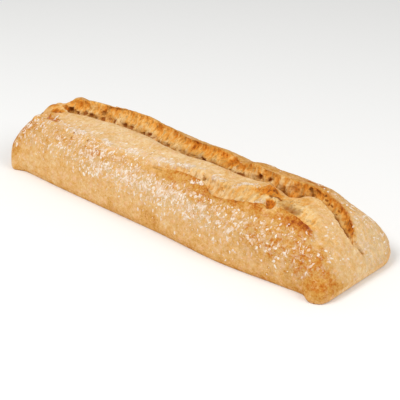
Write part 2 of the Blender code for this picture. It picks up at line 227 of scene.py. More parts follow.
@dataclass(frozen=True)
class LoafForm:
    """The sizes of the loaf's body and slash, the same as the solid's.

    Lines along the loaf are (x, value) stations. Where a line runs across the loaf is given as its y.

    Attributes:
        left_end: Where the left end is along X.
        right_end: Where the right end is.
        end_rounding: How far in from each end the sections stand closer together.
        end_sections: How many stand there.
        middle_sections: How many stand between.
        front_half_width: How far the body reaches to the front, before its foot flares.
        rear_half_width: How far it reaches to the rear.
        front_crown: How high the arch of the front crust is over the loaf's middle line.
        rear_crown: How high that of the rear crust is.
        haunch_height: How high the haunches are.
        sole_height: How high the sole lies.
        shoulder_squareness: How square the arch is at the shoulders.
        foot_flare: How far the front foot flares.
        slash_start: Where the slash begins to open and where it is open.
        slash_end: Where it begins to close and where it is shut.
        tear_start: Where the crumb beside the lip begins to tear and where it has torn open.
        crest_line: Where the ear's crest runs.
        groove_line: Where the groove runs.
        groove_height: How high the groove lies.
        lip_line: Where the lip runs.
        lip_lift: How far the lip is lifted off the arch.
        tear_depth: How far the torn crumb lies under the arch.
        strip_front_line: Where the front edge of the strip runs.
        strip_sag: How far the strip sags under the arch.
        strip_step: How far its rear edge stands over the groove.
        lip_root: How far the lip's root is in front of the lip.
        lip_root_lift_share: How far the root is lifted, as a share of the lip's lift.
        lip_thickness: How far the tear's foot is behind the lip.
        tear_foot_share: How deep the foot is, as a share of the tear's depth.
        strip_front_sag_share: How far the strip's front edge sags, as a share of the strip's sag.
        groove_half_width: How far in front of the groove the strip ends. The wall is half as far behind it.
        wall_foot_height: How far the wall's foot is over the groove.
        ear_thickness: How far the ridge is behind the crest.
        ear_edge_rounding: How far the wall's head is under the crest.
        ear_overhang: How far the wall's head stands out in front of the crest.
        closed_wall_width: How far the wall's head is behind the groove where the slash is shut.
        closed_crest_width: How far the crest is behind the groove there.
        flank_shares: How far out the front flank's points are, as shares of the half width.
        rear_flank_shares: How far out the rear flank's points are.
        haunch_squareness: How square the arch is at the haunches.
        sole_inset: How far the sole's edge is in from the front foot.
        rear_sole_inset: How far its edge is in from the rear haunch.
        undercut: How far the front foot is cut under.
        rear_undercut: How far the rear foot is cut under.
        undercut_share: How high the undercut is, from 0 at the sole to 1 at the haunch.
        narrow_width: The front half width below which the lines of the slash draw together.
        lip_root_share: How far out the lip's root may be, as a share of the half width.
        strip_middle_share: Where the strip's middle is, from 0 at its front edge to 1 at the groove.
        bumps_and_hollows: Each as (centre, radius, height), with a height below 0 for a hollow.
        wave_height: How high the low waves of the whole crust are.
        wave_length: How long they are.
        crag_height: How high the crags of the torn crumb are.
        crag_length: How long they are.
        flat_sole_height: How high above the floor this relief is whole.
    """

    left_end: float = -0.1855
    right_end: float = 0.1850
    end_rounding: float = 0.0120
    end_sections: int = 16
    middle_sections: int = 456
    front_half_width: Stations = (
        (-0.1855, 0.0240), (-0.1848, 0.0350), (-0.1800, 0.0470), (-0.1710, 0.0505), (-0.1590, 0.0495),
        (-0.1100, 0.0510), (0.0150, 0.0522), (0.0800, 0.0550), (0.1450, 0.0497), (0.1600, 0.0485),
        (0.1730, 0.0500), (0.1800, 0.0488), (0.1835, 0.0425), (0.1850, 0.0300))
    rear_half_width: Stations = (
        (-0.1855, 0.0260), (-0.1845, 0.0370), (-0.1780, 0.0455), (-0.1200, 0.0490), (0.0900, 0.0515),
        (0.1500, 0.0500), (0.1730, 0.0480), (0.1810, 0.0408), (0.1850, 0.0280))
    front_crown: Stations = (
        (-0.1855, 0.0205), (-0.1850, 0.0285), (-0.1800, 0.0415), (-0.1690, 0.0480), (-0.1450, 0.0535),
        (-0.0800, 0.0555), (0.0900, 0.0550), (0.1250, 0.0530), (0.1500, 0.0455), (0.1680, 0.0350),
        (0.1800, 0.0190), (0.1845, 0.0095), (0.1850, 0.0072))
    rear_crown: Stations = (
        (-0.1855, 0.0205), (-0.1850, 0.0285), (-0.1800, 0.0425), (-0.1650, 0.0518), (-0.1500, 0.0578),
        (-0.1120, 0.0608), (-0.0940, 0.0629), (-0.0720, 0.0627), (-0.0570, 0.0598), (-0.0400, 0.0590),
        (-0.0080, 0.0570), (0.0150, 0.0572), (0.0480, 0.0536), (0.0580, 0.0556), (0.0660, 0.0578),
        (0.0780, 0.0562), (0.1000, 0.0551), (0.1250, 0.0544), (0.1400, 0.0490), (0.1500, 0.0450),
        (0.1680, 0.0359), (0.1800, 0.0195), (0.1845, 0.0095), (0.1850, 0.0072))
    haunch_height: Stations = (
        (-0.1855, 0.0198), (-0.1790, 0.0120), (-0.1600, 0.0080), (0.1700, 0.0080), (0.1850, 0.0066))
    sole_height: Stations = (
        (-0.1855, 0.0191), (-0.1848, 0.0110), (-0.1800, 0.0015), (-0.1740, 0.0), (0.1760, 0.0),
        (0.1820, 0.0005), (0.1845, 0.0035), (0.1850, 0.0060))
    shoulder_squareness: Stations = ((-0.1855, 2.0), (-0.1600, 2.3), (-0.1200, 2.6), (0.1850, 2.6))
    foot_flare: Stations = (
        (-0.1830, 0.0), (-0.1740, 0.0035), (-0.1600, 0.0), (0.1620, 0.0), (0.1725, 0.0036),
        (0.1800, 0.0022), (0.1850, 0.0))
    slash_start: tuple[float, float] = (-0.1700, -0.1480)
    slash_end: tuple[float, float] = (0.1690, 0.1762)
    tear_start: tuple[float, float] = (-0.0250, 0.0050)
    crest_line: Stations = (
        (-0.1500, 0.0100), (-0.1250, 0.0175), (-0.0850, 0.0265), (-0.0450, 0.0250), (-0.0100, 0.0175),
        (0.0150, 0.0180), (0.0370, 0.0210), (0.0540, 0.0115), (0.0850, 0.0130), (0.1250, 0.0148),
        (0.1380, 0.0168), (0.1480, 0.0165), (0.1545, 0.0142), (0.1610, 0.0105), (0.1670, 0.0063),
        (0.1715, 0.0022), (0.1740, 0.0))
    groove_line: Stations = (
        (-0.1510, 0.0030), (-0.1150, 0.0130), (-0.0860, 0.0155), (-0.0510, 0.0130), (-0.0050, 0.0060),
        (0.0500, 0.0060), (0.0850, 0.0085), (0.1260, 0.0112), (0.1400, 0.0096), (0.1475, 0.0084),
        (0.1560, 0.0046), (0.1620, 0.0022), (0.1680, -0.0002), (0.1740, -0.0012))
    groove_height: Stations = (
        (-0.1600, 0.0450), (-0.1450, 0.0400), (-0.0800, 0.0390), (0.0400, 0.0410), (0.0800, 0.0395),
        (0.1260, 0.0380), (0.1530, 0.0315), (0.1680, 0.0262), (0.1740, 0.0215))
    lip_line: Stations = (
        (-0.0600, -0.0300), (-0.0060, -0.0340), (0.0250, -0.0310), (0.0480, -0.0320), (0.0680, -0.0395),
        (0.0980, -0.0350), (0.1200, -0.0270), (0.1500, -0.0250), (0.1620, -0.0300))
    lip_lift: Stations = (
        (-0.0300, 0.0), (-0.0050, 0.0018), (0.1000, 0.0024), (0.1350, 0.0020), (0.1550, 0.0))
    tear_depth: Stations = (
        (-0.0300, 0.0), (0.0050, 0.0050), (0.0550, 0.0065), (0.0880, 0.0060), (0.1000, 0.0008),
        (0.1090, 0.0010), (0.1190, 0.0040), (0.1350, 0.0026), (0.1550, 0.0))
    strip_front_line: Stations = (
        (-0.1300, -0.0240), (-0.0050, -0.0275), (0.0230, -0.0175), (0.0700, -0.0205), (0.0920, -0.0090),
        (0.1250, -0.0130), (0.1730, -0.0120))
    strip_sag: Stations = (
        (-0.1500, 0.0022), (-0.0500, 0.0022), (0.0100, 0.0036), (0.0850, 0.0030), (0.0960, 0.0050),
        (0.1080, 0.0090), (0.1220, 0.0085), (0.1360, 0.0055), (0.1500, 0.0025), (0.1680, 0.0010))
    strip_step: Stations = (
        (-0.1500, 0.0058), (-0.1350, 0.0046), (-0.1000, 0.0048), (-0.0500, 0.0062), (0.0100, 0.0052),
        (0.0850, 0.0056), (0.0980, 0.0040), (0.1080, 0.0020), (0.1220, 0.0086), (0.1300, 0.0098),
        (0.1480, 0.0095), (0.1600, 0.0086), (0.1680, 0.0072), (0.1740, 0.0068))
    lip_root: float = 0.0060
    lip_root_lift_share: float = 0.45
    lip_thickness: float = 0.0014
    tear_foot_share: float = 0.75
    strip_front_sag_share: float = 0.5
    groove_half_width: float = 0.0020
    wall_foot_height: Stations = ((-0.1500, 0.0060), (0.1480, 0.0060), (0.1620, 0.0042), (0.1740, 0.0022))
    ear_thickness: float = 0.0050
    ear_edge_rounding: float = 0.0024
    ear_overhang: float = 0.0006
    closed_wall_width: float = 0.0015
    closed_crest_width: float = 0.0022
    flank_shares: Mapping[str, float] = field(
        default_factory=lambda: {"flank_low": 0.97, "flank": 0.88, "shoulder": 0.74})
    rear_flank_shares: Mapping[str, float] = field(
        default_factory=lambda: {"flank_low": 0.94, "flank": 0.82, "shoulder": 0.66})
    haunch_squareness: float = 2.2
    sole_inset: float = 0.0030
    rear_sole_inset: float = 0.0060
    undercut: float = 0.0010
    rear_undercut: float = 0.0020
    undercut_share: float = 0.32
    narrow_width: float = 0.0470
    lip_root_share: float = 0.72
    strip_middle_share: float = 0.55
    bumps_and_hollows: tuple[tuple[Place, float, float], ...] = (
        # The lumps of the left end, the dents between them and the round start of the ear.
        ((-0.1700, -0.0025, 0.0490), 0.0130, 0.0045),
        ((-0.1680, -0.0235, 0.0440), 0.0085, 0.0026),
        ((-0.1610, -0.0150, 0.0480), 0.0050, -0.0016),
        ((-0.1520, -0.0185, 0.0490), 0.0055, -0.0020),
        ((-0.1540, 0.0170, 0.0560), 0.0110, 0.0025),
        # The toasted bump where the tear meets the groove, the crack before it, and the lobe beside the lip.
        ((0.0985, -0.0085, 0.0490), 0.0085, 0.0045),
        ((0.1070, -0.0125, 0.0470), 0.0050, -0.0040),
        ((0.1020, -0.0215, 0.0480), 0.0095, 0.0016),
        # The swell of crumb before the slash closes.
        ((0.1330, -0.0020, 0.0460), 0.0180, 0.0020),
        # The large pockets in the wall of the ear.
        ((0.1080, 0.0100, 0.0470), 0.0070, -0.0028),
        ((0.1240, 0.0150, 0.0480), 0.0065, -0.0030),
        ((-0.1520, 0.0060, 0.0465), 0.0060, -0.0040),
        ((-0.1130, 0.0150, 0.0450), 0.0055, -0.0030),
        ((-0.0540, 0.0150, 0.0440), 0.0060, -0.0030),
        ((0.0150, 0.0100, 0.0450), 0.0060, -0.0030))
    wave_height: float = 0.0011
    wave_length: float = 0.0330
    crag_height: float = 0.0018
    crag_length: float = 0.0075
    flat_sole_height: float = 0.0080

    def places(self) -> np.ndarray:
        """The places of the sections, close together in the rounded ends and even between.

        Returns:
            The x of every section.
        """
        turn = 1.0 - np.cos(np.linspace(0.0, math.pi / 2.0, self.end_sections + 1))[:-1]
        left = self.left_end + self.end_rounding * turn
        right = self.right_end - self.end_rounding * turn
        middle = np.linspace(self.left_end + self.end_rounding, self.right_end - self.end_rounding,
                             self.middle_sections)
        return np.concatenate((left, middle, right[::-1]))

    def opening(self, x: np.ndarray) -> np.ndarray:
        """How far the slash has opened at each x, from 0 to 1."""
        return ease(x, *self.slash_start) * (1.0 - ease(x, *self.slash_end))

    def tearing(self, x: np.ndarray) -> np.ndarray:
        """How far the crumb beside the lip has torn open at each x, from 0 to 1."""
        return self.opening(x) * ease(x, *self.tear_start)

    def outline(self, x: np.ndarray) -> dict[str, tuple[np.ndarray, np.ndarray]]:
        """The named points of the sections.

        Args:
            x: Where the sections stand.

        Returns:
            The y and z at each x of every named point.
        """
        front, rear = along(self.front_half_width, x), along(self.rear_half_width, x)
        haunch, sole = along(self.haunch_height, x), along(self.sole_height, x)
        squareness = along(self.shoulder_squareness, x)
        opening = self.opening(x)
        flare = along(self.foot_flare, x)
        pinch = np.minimum(1.0, front / self.narrow_width)

        def surface(y: np.ndarray, crown: np.ndarray) -> np.ndarray:
            """Height of the arched crust.

            Args:
                y: Where it is read, one y for each x.
                crown: The crown's height at each x.

            Returns:
                One height for each x.
            """
            share = np.abs(np.where(y < 0.0, y / front, y / rear))
            arch = np.clip(1.0 - share ** squareness, 0.0, 1.0) ** (1.0 / self.haunch_squareness)
            return haunch + (crown - haunch) * arch

        def front_surface(y: np.ndarray) -> np.ndarray:
            """Height of the front crust at y."""
            return surface(y, along(self.front_crown, x))

        def rear_surface(y: np.ndarray) -> np.ndarray:
            """Height of the rear crust at y."""
            return surface(y, along(self.rear_crown, x))

        def opened(closed_value: np.ndarray, open_value: np.ndarray) -> np.ndarray:
            """The closed value where the slash is shut, the open one where it is open."""
            return closed_value + (open_value - closed_value) * opening

        undercut_height = sole + (haunch - sole) * self.undercut_share
        points = {
            "sole_middle": (0.0 * x, sole), "sole_close": (0.0 * x, sole),
            "sole_front": (self.sole_inset - front - flare, sole),
            "sole_rear": (rear - self.rear_sole_inset, sole),
            "undercut_front": (self.undercut - front - flare, undercut_height),
            "undercut_rear": (rear - self.rear_undercut, undercut_height),
            "haunch_front": (-front - flare / 2.0, haunch), "haunch_rear": (rear, haunch)}
        for name, share in self.flank_shares.items():
            points[name + "_front"] = (-front * share, front_surface(-front * share))
        for name, share in self.rear_flank_shares.items():
            points[name + "_rear"] = (rear * share, rear_surface(rear * share))

        lip, strip = along(self.lip_line, x) * pinch, along(self.strip_front_line, x) * pinch
        lift, tear = along(self.lip_lift, x), along(self.tear_depth, x)
        sag = along(self.strip_sag, x) * opening
        root = np.maximum(lip - self.lip_root, -front * self.lip_root_share)
        foot = lip + self.lip_thickness
        floor = (lip + strip) / 2.0
        points["lip_root"] = (root, front_surface(root) + self.lip_root_lift_share * lift)
        points["lip"] = (lip, front_surface(lip) + lift)
        points["tear_foot"] = (foot, front_surface(foot) - self.tear_foot_share * tear)
        points["tear_floor"] = (floor, front_surface(floor) - tear)
        points["strip_front"] = (strip, front_surface(strip) - sag * self.strip_front_sag_share)

        groove, crest = along(self.groove_line, x) * pinch, along(self.crest_line, x) * pinch
        groove_height = along(self.groove_height, x)
        strip_middle = strip + (groove - strip) * self.strip_middle_share
        strip_rear = groove - self.groove_half_width
        wall_foot = groove + self.groove_half_width / 2.0
        wall_head = opened(groove + self.closed_wall_width, crest - self.ear_overhang)
        crest_height = rear_surface(crest)
        crest = opened(groove + self.closed_crest_width, crest)
        ridge = crest + self.ear_thickness
        points["strip_middle"] = (strip_middle, front_surface(strip_middle) - sag)
        points["strip_rear"] = (
            strip_rear, opened(front_surface(strip_rear), groove_height + along(self.strip_step, x)))
        points["groove"] = (groove, opened(front_surface(groove), groove_height))
        points["wall_foot"] = (
            wall_foot, opened(rear_surface(wall_foot), groove_height + along(self.wall_foot_height, x)))
        points["wall_head"] = (
            wall_head, opened(rear_surface(wall_head), crest_height - self.ear_edge_rounding))
        points["crest"] = (crest, opened(rear_surface(crest), crest_height))
        points["ridge"] = (ridge, rear_surface(ridge))
        return points

    def around(self, rows: Mapping[str, np.ndarray]) -> np.ndarray:
        """Values at every point of the fine skin, from their values at the named points.

        Args:
            rows: The value at each x for each named point.

        Returns:
            One row for each x, with one value for each step round the section.
        """
        knots = np.cumsum([0] + [point.steps for point in SECTION[:-1]]).astype(float)
        at = np.concatenate([
            start + point.steps * np.arange(point.fine) / point.fine
            for start, point in zip(knots, SECTION[:-1])])
        return smooth_line(knots, np.array([rows[point.name] for point in SECTION]), at).T

    def rings(self, x: np.ndarray) -> np.ndarray:
        """The skin before any relief.

        Args:
            x: Where the sections stand.

        Returns:
            One ring of points for each x.
        """
        outline = self.outline(x)
        y = self.around({name: place[0] for name, place in outline.items()})
        z = self.around({name: place[1] for name, place in outline.items()})
        return np.stack((np.broadcast_to(x[:, None], y.shape), y, z), axis=2)

    def crags(self, x: np.ndarray) -> np.ndarray:
        """How craggy the skin is.

        Args:
            x: Where the sections stand.

        Returns:
            One value from 0 to 1 for every point, in rings as the points are.
        """
        opening, tearing = self.opening(x), self.tearing(x)
        return self.around({
            point.name: point.crag * (tearing if point.name in TEAR_NAMES else opening)
            for point in SECTION})

    def relief(self, places: np.ndarray, crags: np.ndarray) -> np.ndarray:
        """Height of the solid's own waves, crags, bumps and hollows.

        Args:
            places: The skin's points, one to a row.
            crags: How craggy the skin is at each.

        Returns:
            How far each point is raised.
        """
        high = self.wave_height * grain(places, (self.wave_length,) * 3, 0.0)
        high += self.crag_height * crags * grain(places, (self.crag_length,) * 3, 0.0)
        for centre, radius, height in self.bumps_and_hollows:
            high += height * nearness(places, centre, radius) ** 2
        return high * ease(places[:, 2], 0.0, self.flat_sole_height)


@dataclass(frozen=True)
class Grain:
    """A smooth unevenness of the skin.

    Attributes:
        height: How high its waves stand, or how much they change where it isn't a relief.
        lengths: The length of a wave along X, Y and Z.
        seed: A shift that makes it differ from the other grains.
    """

    height: float
    lengths: Place
    seed: float

    def waves(self, places: np.ndarray) -> np.ndarray:
        """Its waves at points given one to a row, from -1 to 1."""
        return grain(places, self.lengths, self.seed)

    def relief(self, places: np.ndarray) -> np.ndarray:
        """How far it raises points given one to a row."""
        return self.height * self.waves(places)


@dataclass(frozen=True)
class Stroke:
    """A stretch of the skin along a straight line.

    Attributes:
        start: One end of the line, in the sections' own places.
        end: The other end.
        radius: How far it reaches from the line.
    """

    start: Place
    end: Place
    radius: float

    def near(self, places: np.ndarray) -> np.ndarray:
        """How near points of the skin are to the line, whose ends are first moved to the nearest points.

        Args:
            places: The skin's points, one to a row.

        Returns:
            1 on the line, falling to 0 at the radius and beyond.
        """
        first, last = (places[((places - np.array(end)) ** 2).sum(axis=1).argmin()]
                       for end in (self.start, self.end))
        way = last - first
        share = np.clip(((places - first) @ way) / max(way @ way, SHORTEST_LINE), 0.0, 1.0)
        gap = ((places - first - share[:, None] * way) ** 2).sum(axis=1)
        return np.clip(1.0 - gap / self.radius ** 2, 0.0, 1.0)


@dataclass(frozen=True)
class Fold(Stroke):
    """A ridge or a crease of the skin.

    Attributes:
        height: How high it stands, below 0 for a crease.
    """

    height: float


@dataclass(frozen=True)
class Patch(Stroke):
    """A part of the skin where a tone differs from what is round it.

    Attributes:
        amount: What it adds to the tone in its middle.
    """

    amount: float


@dataclass(frozen=True)
class Pocket:
    """A hole left by a bubble in the dough.

    Attributes:
        centre: Where its mouth is, in the sections' own places.
        radius: How wide its mouth is.
        depth: How deep it goes.
        dark: How much shade is painted inside it, from 0 to 1.
        end: The other end of a long mouth, or nothing where it is round.
        bowl: Whether the skin is first levelled there, so that the rim is even.
        toast: How toasted a bowl's crumb is.
    """

    centre: Place
    radius: float
    depth: float
    dark: float
    end: Place | None = None
    bowl: bool = False
    toast: float = 0.80

    def near(self, places: np.ndarray) -> np.ndarray:
        """How near points of the skin are to the middle of its mouth, from 0 outside it to 1."""
        return Stroke(self.centre, self.end or self.centre, self.radius).near(places)


EVERYWHERE: Stations = ((0.0, 1.0),)
TORN_OPEN: Stations = ((-0.0080, 0.0), (0.0010, 1.0), (0.1400, 1.0), (0.1560, 0.2))
PAST_SLASH: Stations = ((0.1650, 0.0), (0.1770, 0.34))


@dataclass(frozen=True)
class LoafDetail:
    """What the fine skin adds to the solid's form: relief and tones.

    Lines of a tone give its value along x at a named point of the sections. A point with no line has 0.

    Attributes:
        blisters: The broad unevenness of the crust.
        pebbles: Its fine unevenness.
        wrinkles: Its wrinkles, which run across the loaf.
        strands: The strands of the torn crumb.
        strand_light: How much paler they are painted than what lies between them: painted light on the
            raised strands.
        crumbs: The crumb's finest relief.
        ragged_edges: The relief of the torn edges.
        edge_peak_light: How much paler it paints their peaks: painted light on the raised peaks.
        hollows: The wide hollows of the crumb.
        hollow_level: The value of their waves below which they start.
        hollow_shade: How much darker they paint the crumb: painted shade in the hollows.
        slits: The slits between the strands. Their lengths are the gaps between them.
        slit_reach: How wide they are, as a share of these gaps.
        slit_shade: How much darker they paint the crumb: painted shade in the slits.
        groove_shade_waves: How much the groove's painted shade changes along it.
        groove_shade: How dark the groove's painted shade is on average.
        least_torn: How torn the skin is where the crumb's relief begins.
        sole_margin: How high above the floor the fine relief begins.
        calm_rim: How far from the loaf's ends the relief begins and where it is full.
        fold_sharpness: How sharp the folds are.
        folds: The ridges and creases.
        sway: How far the pockets' rims sway along X, Y and Z.
        pocket_shade: How quickly a pocket's painted shade darkens from its rim.
        bowl_rim: How far in a bowl's rim reaches, where 0 is its edge and 1 its middle.
        bowl_slope: Where its side starts and ends, in the same measure.
        bowl_edge: Where the skin starts to be levelled and is quite level.
        bowl_lining: Where its crumb starts and is whole.
        pockets: The holes left by bubbles.
        crumb_lines: How open the crumb is.
        toast_lines: How toasted the skin is.
        flour_lines: How floured it is.
        edge_lines: How torn its edges are.
        groove_shade_lines: Where the groove has painted shade.
        painted_shade_lines: How much shade is painted on other places for lying deep.
        patches: Where each tone differs from its lines. The patches of the depth tone are painted shade.
    """

    blisters: Grain = Grain(0.00032, (0.0085,) * 3, 3.1)
    pebbles: Grain = Grain(0.00016, (0.0032,) * 3, 7.7)
    wrinkles: Grain = Grain(0.00014, (0.0030, 0.0140, 0.0140), 12.9)
    strands: Grain = Grain(0.00105, (0.0032, 0.0140, 0.0120), 5.3)
    strand_light: float = 0.27
    crumbs: Grain = Grain(0.00045, (0.0017, 0.0017, 0.0019), 9.1)
    ragged_edges: Grain = Grain(0.0004, (0.0030, 0.0100, 0.0100), 21.3)
    edge_peak_light: float = 0.12
    hollows: Grain = Grain(0.0012, (0.0100, 0.0100, 0.0150), 27.7)
    hollow_level: float = 0.15
    hollow_shade: float = 0.16
    slits: Grain = Grain(0.0014, (0.0026, 0.0052, 0.0058), 1.7)
    slit_reach: float = 0.56
    slit_shade: float = 0.24
    groove_shade_waves: Grain = Grain(0.9, (0.0065,) * 3, 15.1)
    groove_shade: float = 0.55
    least_torn: float = 0.02
    sole_margin: float = 0.0005
    calm_rim: tuple[float, float] = (0.0, 0.0034)
    fold_sharpness: float = 1.5
    folds: tuple[Fold, ...] = (
        # The ridge, the creases beside it and the low ridge in front, on top of the left end.
        Fold((-0.1658, -0.0163, 0.0471), (-0.1439, -0.0127, 0.0508), 0.0026, 0.0022),
        Fold((-0.1650, -0.0120, 0.0490), (-0.1500, -0.0090, 0.0512), 0.0022, -0.0014),
        Fold((-0.1590, -0.0190, 0.0468), (-0.1400, -0.0225, 0.0492), 0.0030, -0.0014),
        Fold((-0.1660, -0.0265, 0.0450), (-0.1580, -0.0260, 0.0460), 0.0060, 0.0009),
        # A crease down the left end's flank.
        Fold((-0.1542, -0.0435, 0.0324), (-0.1520, -0.0496, 0.0101), 0.0035, -0.0009),
        # The cleft behind the toasted bump, and the valley that it opens into.
        Fold((0.1070, -0.0165, 0.0510), (0.1080, -0.0115, 0.0485), 0.0022, -0.0030),
        Fold((0.1080, -0.0115, 0.0485), (0.1124, -0.0122, 0.0495), 0.0020, -0.0028),
        Fold((0.1170, -0.0150, 0.0485), (0.1250, -0.0210, 0.0467), 0.0058, -0.0026),
        # The fold across the strip.
        Fold((0.0500, -0.0030, 0.0506), (0.0639, -0.0256, 0.0478), 0.0030, 0.0009),
        Fold((0.0550, -0.0030, 0.0506), (0.0690, -0.0250, 0.0478), 0.0030, -0.0010),
        # Short creases beside the lip.
        Fold((-0.0035, -0.0352, 0.0488), (0.0121, -0.0350, 0.0488), 0.0012, -0.0007),
        Fold((0.0367, -0.0346, 0.0501), (0.0489, -0.0349, 0.0497), 0.0012, -0.0007),
        # The short crease past the slash's tip.
        Fold((0.1745, -0.0010, 0.0300), (0.1803, 0.0037, 0.0198), 0.0021, -0.0030))
    sway: tuple[Grain, Grain, Grain] = tuple(
        Grain(0.0016, (0.0030,) * 3, seed) for seed in (41.0, 47.0, 53.0))
    pocket_shade: float = 1.5
    bowl_rim: float = 0.35
    bowl_slope: tuple[float, float] = (0.10, 1.05)
    bowl_edge: tuple[float, float] = (0.0, 0.30)
    bowl_lining: tuple[float, float] = (0.12, 0.34)
    pockets: tuple[Pocket, ...] = (
        # The hollows of the crumpled left end.
        Pocket((-0.1538, 0.0060, 0.0480), 0.0040, 0.0030, 0.85),
        Pocket((-0.1580, -0.0072, 0.0499), 0.0055, 0.0022, 0.10),
        Pocket((-0.1570, -0.0085, 0.0497), 0.0022, 0.0010, 0.7),
        # Along the foot of the slash's wall, with a shallow scoop in its middle.
        Pocket((-0.1450, 0.0085, 0.0462), 0.0028, 0.0018, 0.9),
        Pocket((-0.1380, 0.0105, 0.0466), 0.0032, 0.0024, 0.95),
        Pocket((-0.1310, 0.0125, 0.0462), 0.0028, 0.0020, 0.85),
        Pocket((-0.1210, 0.0150, 0.0500), 0.0028, 0.0018, 0.6),
        Pocket((-0.1200, 0.0140, 0.0455), 0.0033, 0.0026, 1.0),
        Pocket((-0.1060, 0.0150, 0.0462), 0.0034, 0.0026, 0.9),
        Pocket((-0.0925, 0.0160, 0.0460), 0.0034, 0.0026, 1.0),
        Pocket((-0.0845, 0.0160, 0.0466), 0.0032, 0.0024, 0.9),
        Pocket((-0.0670, 0.0150, 0.0458), 0.0032, 0.0024, 0.9),
        Pocket((-0.0560, 0.0140, 0.0468), 0.0031, 0.0028, 1.0),
        Pocket((-0.0335, 0.0105, 0.0462), 0.0032, 0.0024, 0.9),
        Pocket((-0.0150, 0.0080, 0.0462), 0.0024, 0.0016, 0.6),
        Pocket((0.0020, 0.0078, 0.0462), 0.0024, 0.0016, 0.6),
        Pocket((0.0135, 0.0080, 0.0462), 0.0034, 0.0028, 1.0),
        Pocket((0.0420, 0.0090, 0.0480), 0.0060, 0.0018, 0.12, (0.0440, 0.0100, 0.0510)),
        Pocket((0.0520, 0.0088, 0.0446), 0.0024, 0.0016, 0.8, (0.0570, 0.0090, 0.0446)),
        Pocket((0.0725, 0.0105, 0.0476), 0.0026, 0.0026, 0.9),
        Pocket((0.0820, 0.0120, 0.0476), 0.0022, 0.0024, 0.9),
        # The hole in the lobe.
        Pocket((0.1102, -0.0212, 0.0508), 0.0046, 0.0044, 0.10, (0.1148, -0.0280, 0.0499), True),
        # The wide pocket of the wall behind the bump, and the slit past it.
        Pocket((0.1052, 0.0121, 0.0446), 0.0056, 0.0018, 0.10),
        Pocket((0.1216, 0.0134, 0.0512), 0.0018, 0.0020, 0.7, (0.1250, 0.0132, 0.0464)),
        # Pinholes of the wall's toasted right end.
        Pocket((0.1342, 0.0159, 0.0493), 0.0012, 0.0010, 0.9),
        Pocket((0.1358, 0.0153, 0.0466), 0.0014, 0.0010, 0.9),
        Pocket((0.1387, 0.0142, 0.0445), 0.0013, 0.0010, 0.9),
        Pocket((0.1416, 0.0141, 0.0438), 0.0015, 0.0012, 1.0),
        Pocket((0.1478, 0.0136, 0.0418), 0.0013, 0.0010, 0.9),
        Pocket((0.1490, 0.0102, 0.0410), 0.0015, 0.0012, 0.9),
        Pocket((0.1574, 0.0097, 0.0372), 0.0012, 0.0010, 0.8),
        # Pinholes of the floured front crust.
        Pocket((-0.1075, -0.0305, 0.0490), 0.0020, 0.0010, 0.8),
        Pocket((-0.0868, -0.0325, 0.0486), 0.0019, 0.0010, 0.8),
        Pocket((-0.0988, -0.0253, 0.0517), 0.0015, 0.0010, 0.8),
        Pocket((-0.1063, -0.0356, 0.0459), 0.0017, 0.0011, 0.8),
        # Small holes of the torn crumb and the lip.
        Pocket((0.0417, -0.0236, 0.0480), 0.0022, 0.0020, 0.55),
        Pocket((0.0560, -0.0345, 0.0470), 0.0022, 0.0016, 0.5),
        Pocket((0.0886, -0.0378, 0.0491), 0.0013, 0.0010, 0.9))
    crumb_lines: Mapping[str, Stations] = field(default_factory=lambda: {
        "groove": EVERYWHERE, "wall_foot": EVERYWHERE, "wall_head": EVERYWHERE,
        "tear_foot": TORN_OPEN, "tear_floor": TORN_OPEN, "strip_rear": ((0.0, 0.30),),
        "crest": ((-0.1500, 0.80), (-0.1250, 0.60), (-0.1000, 0.25)),
        "strip_front": ((-0.0100, 0.0), (0.0050, 0.30), (0.0900, 0.5), (0.1200, 0.9), (0.1400, 0.7),
                        (0.1600, 0.0)),
        "strip_middle": ((-0.1500, 0.06), (0.0950, 0.10), (0.1150, 0.6), (0.1400, 0.3), (0.1550, 0.0)),
        "lip": ((-0.0080, 0.0), (0.0, 0.20), (0.1400, 0.20), (0.1560, 0.0))})
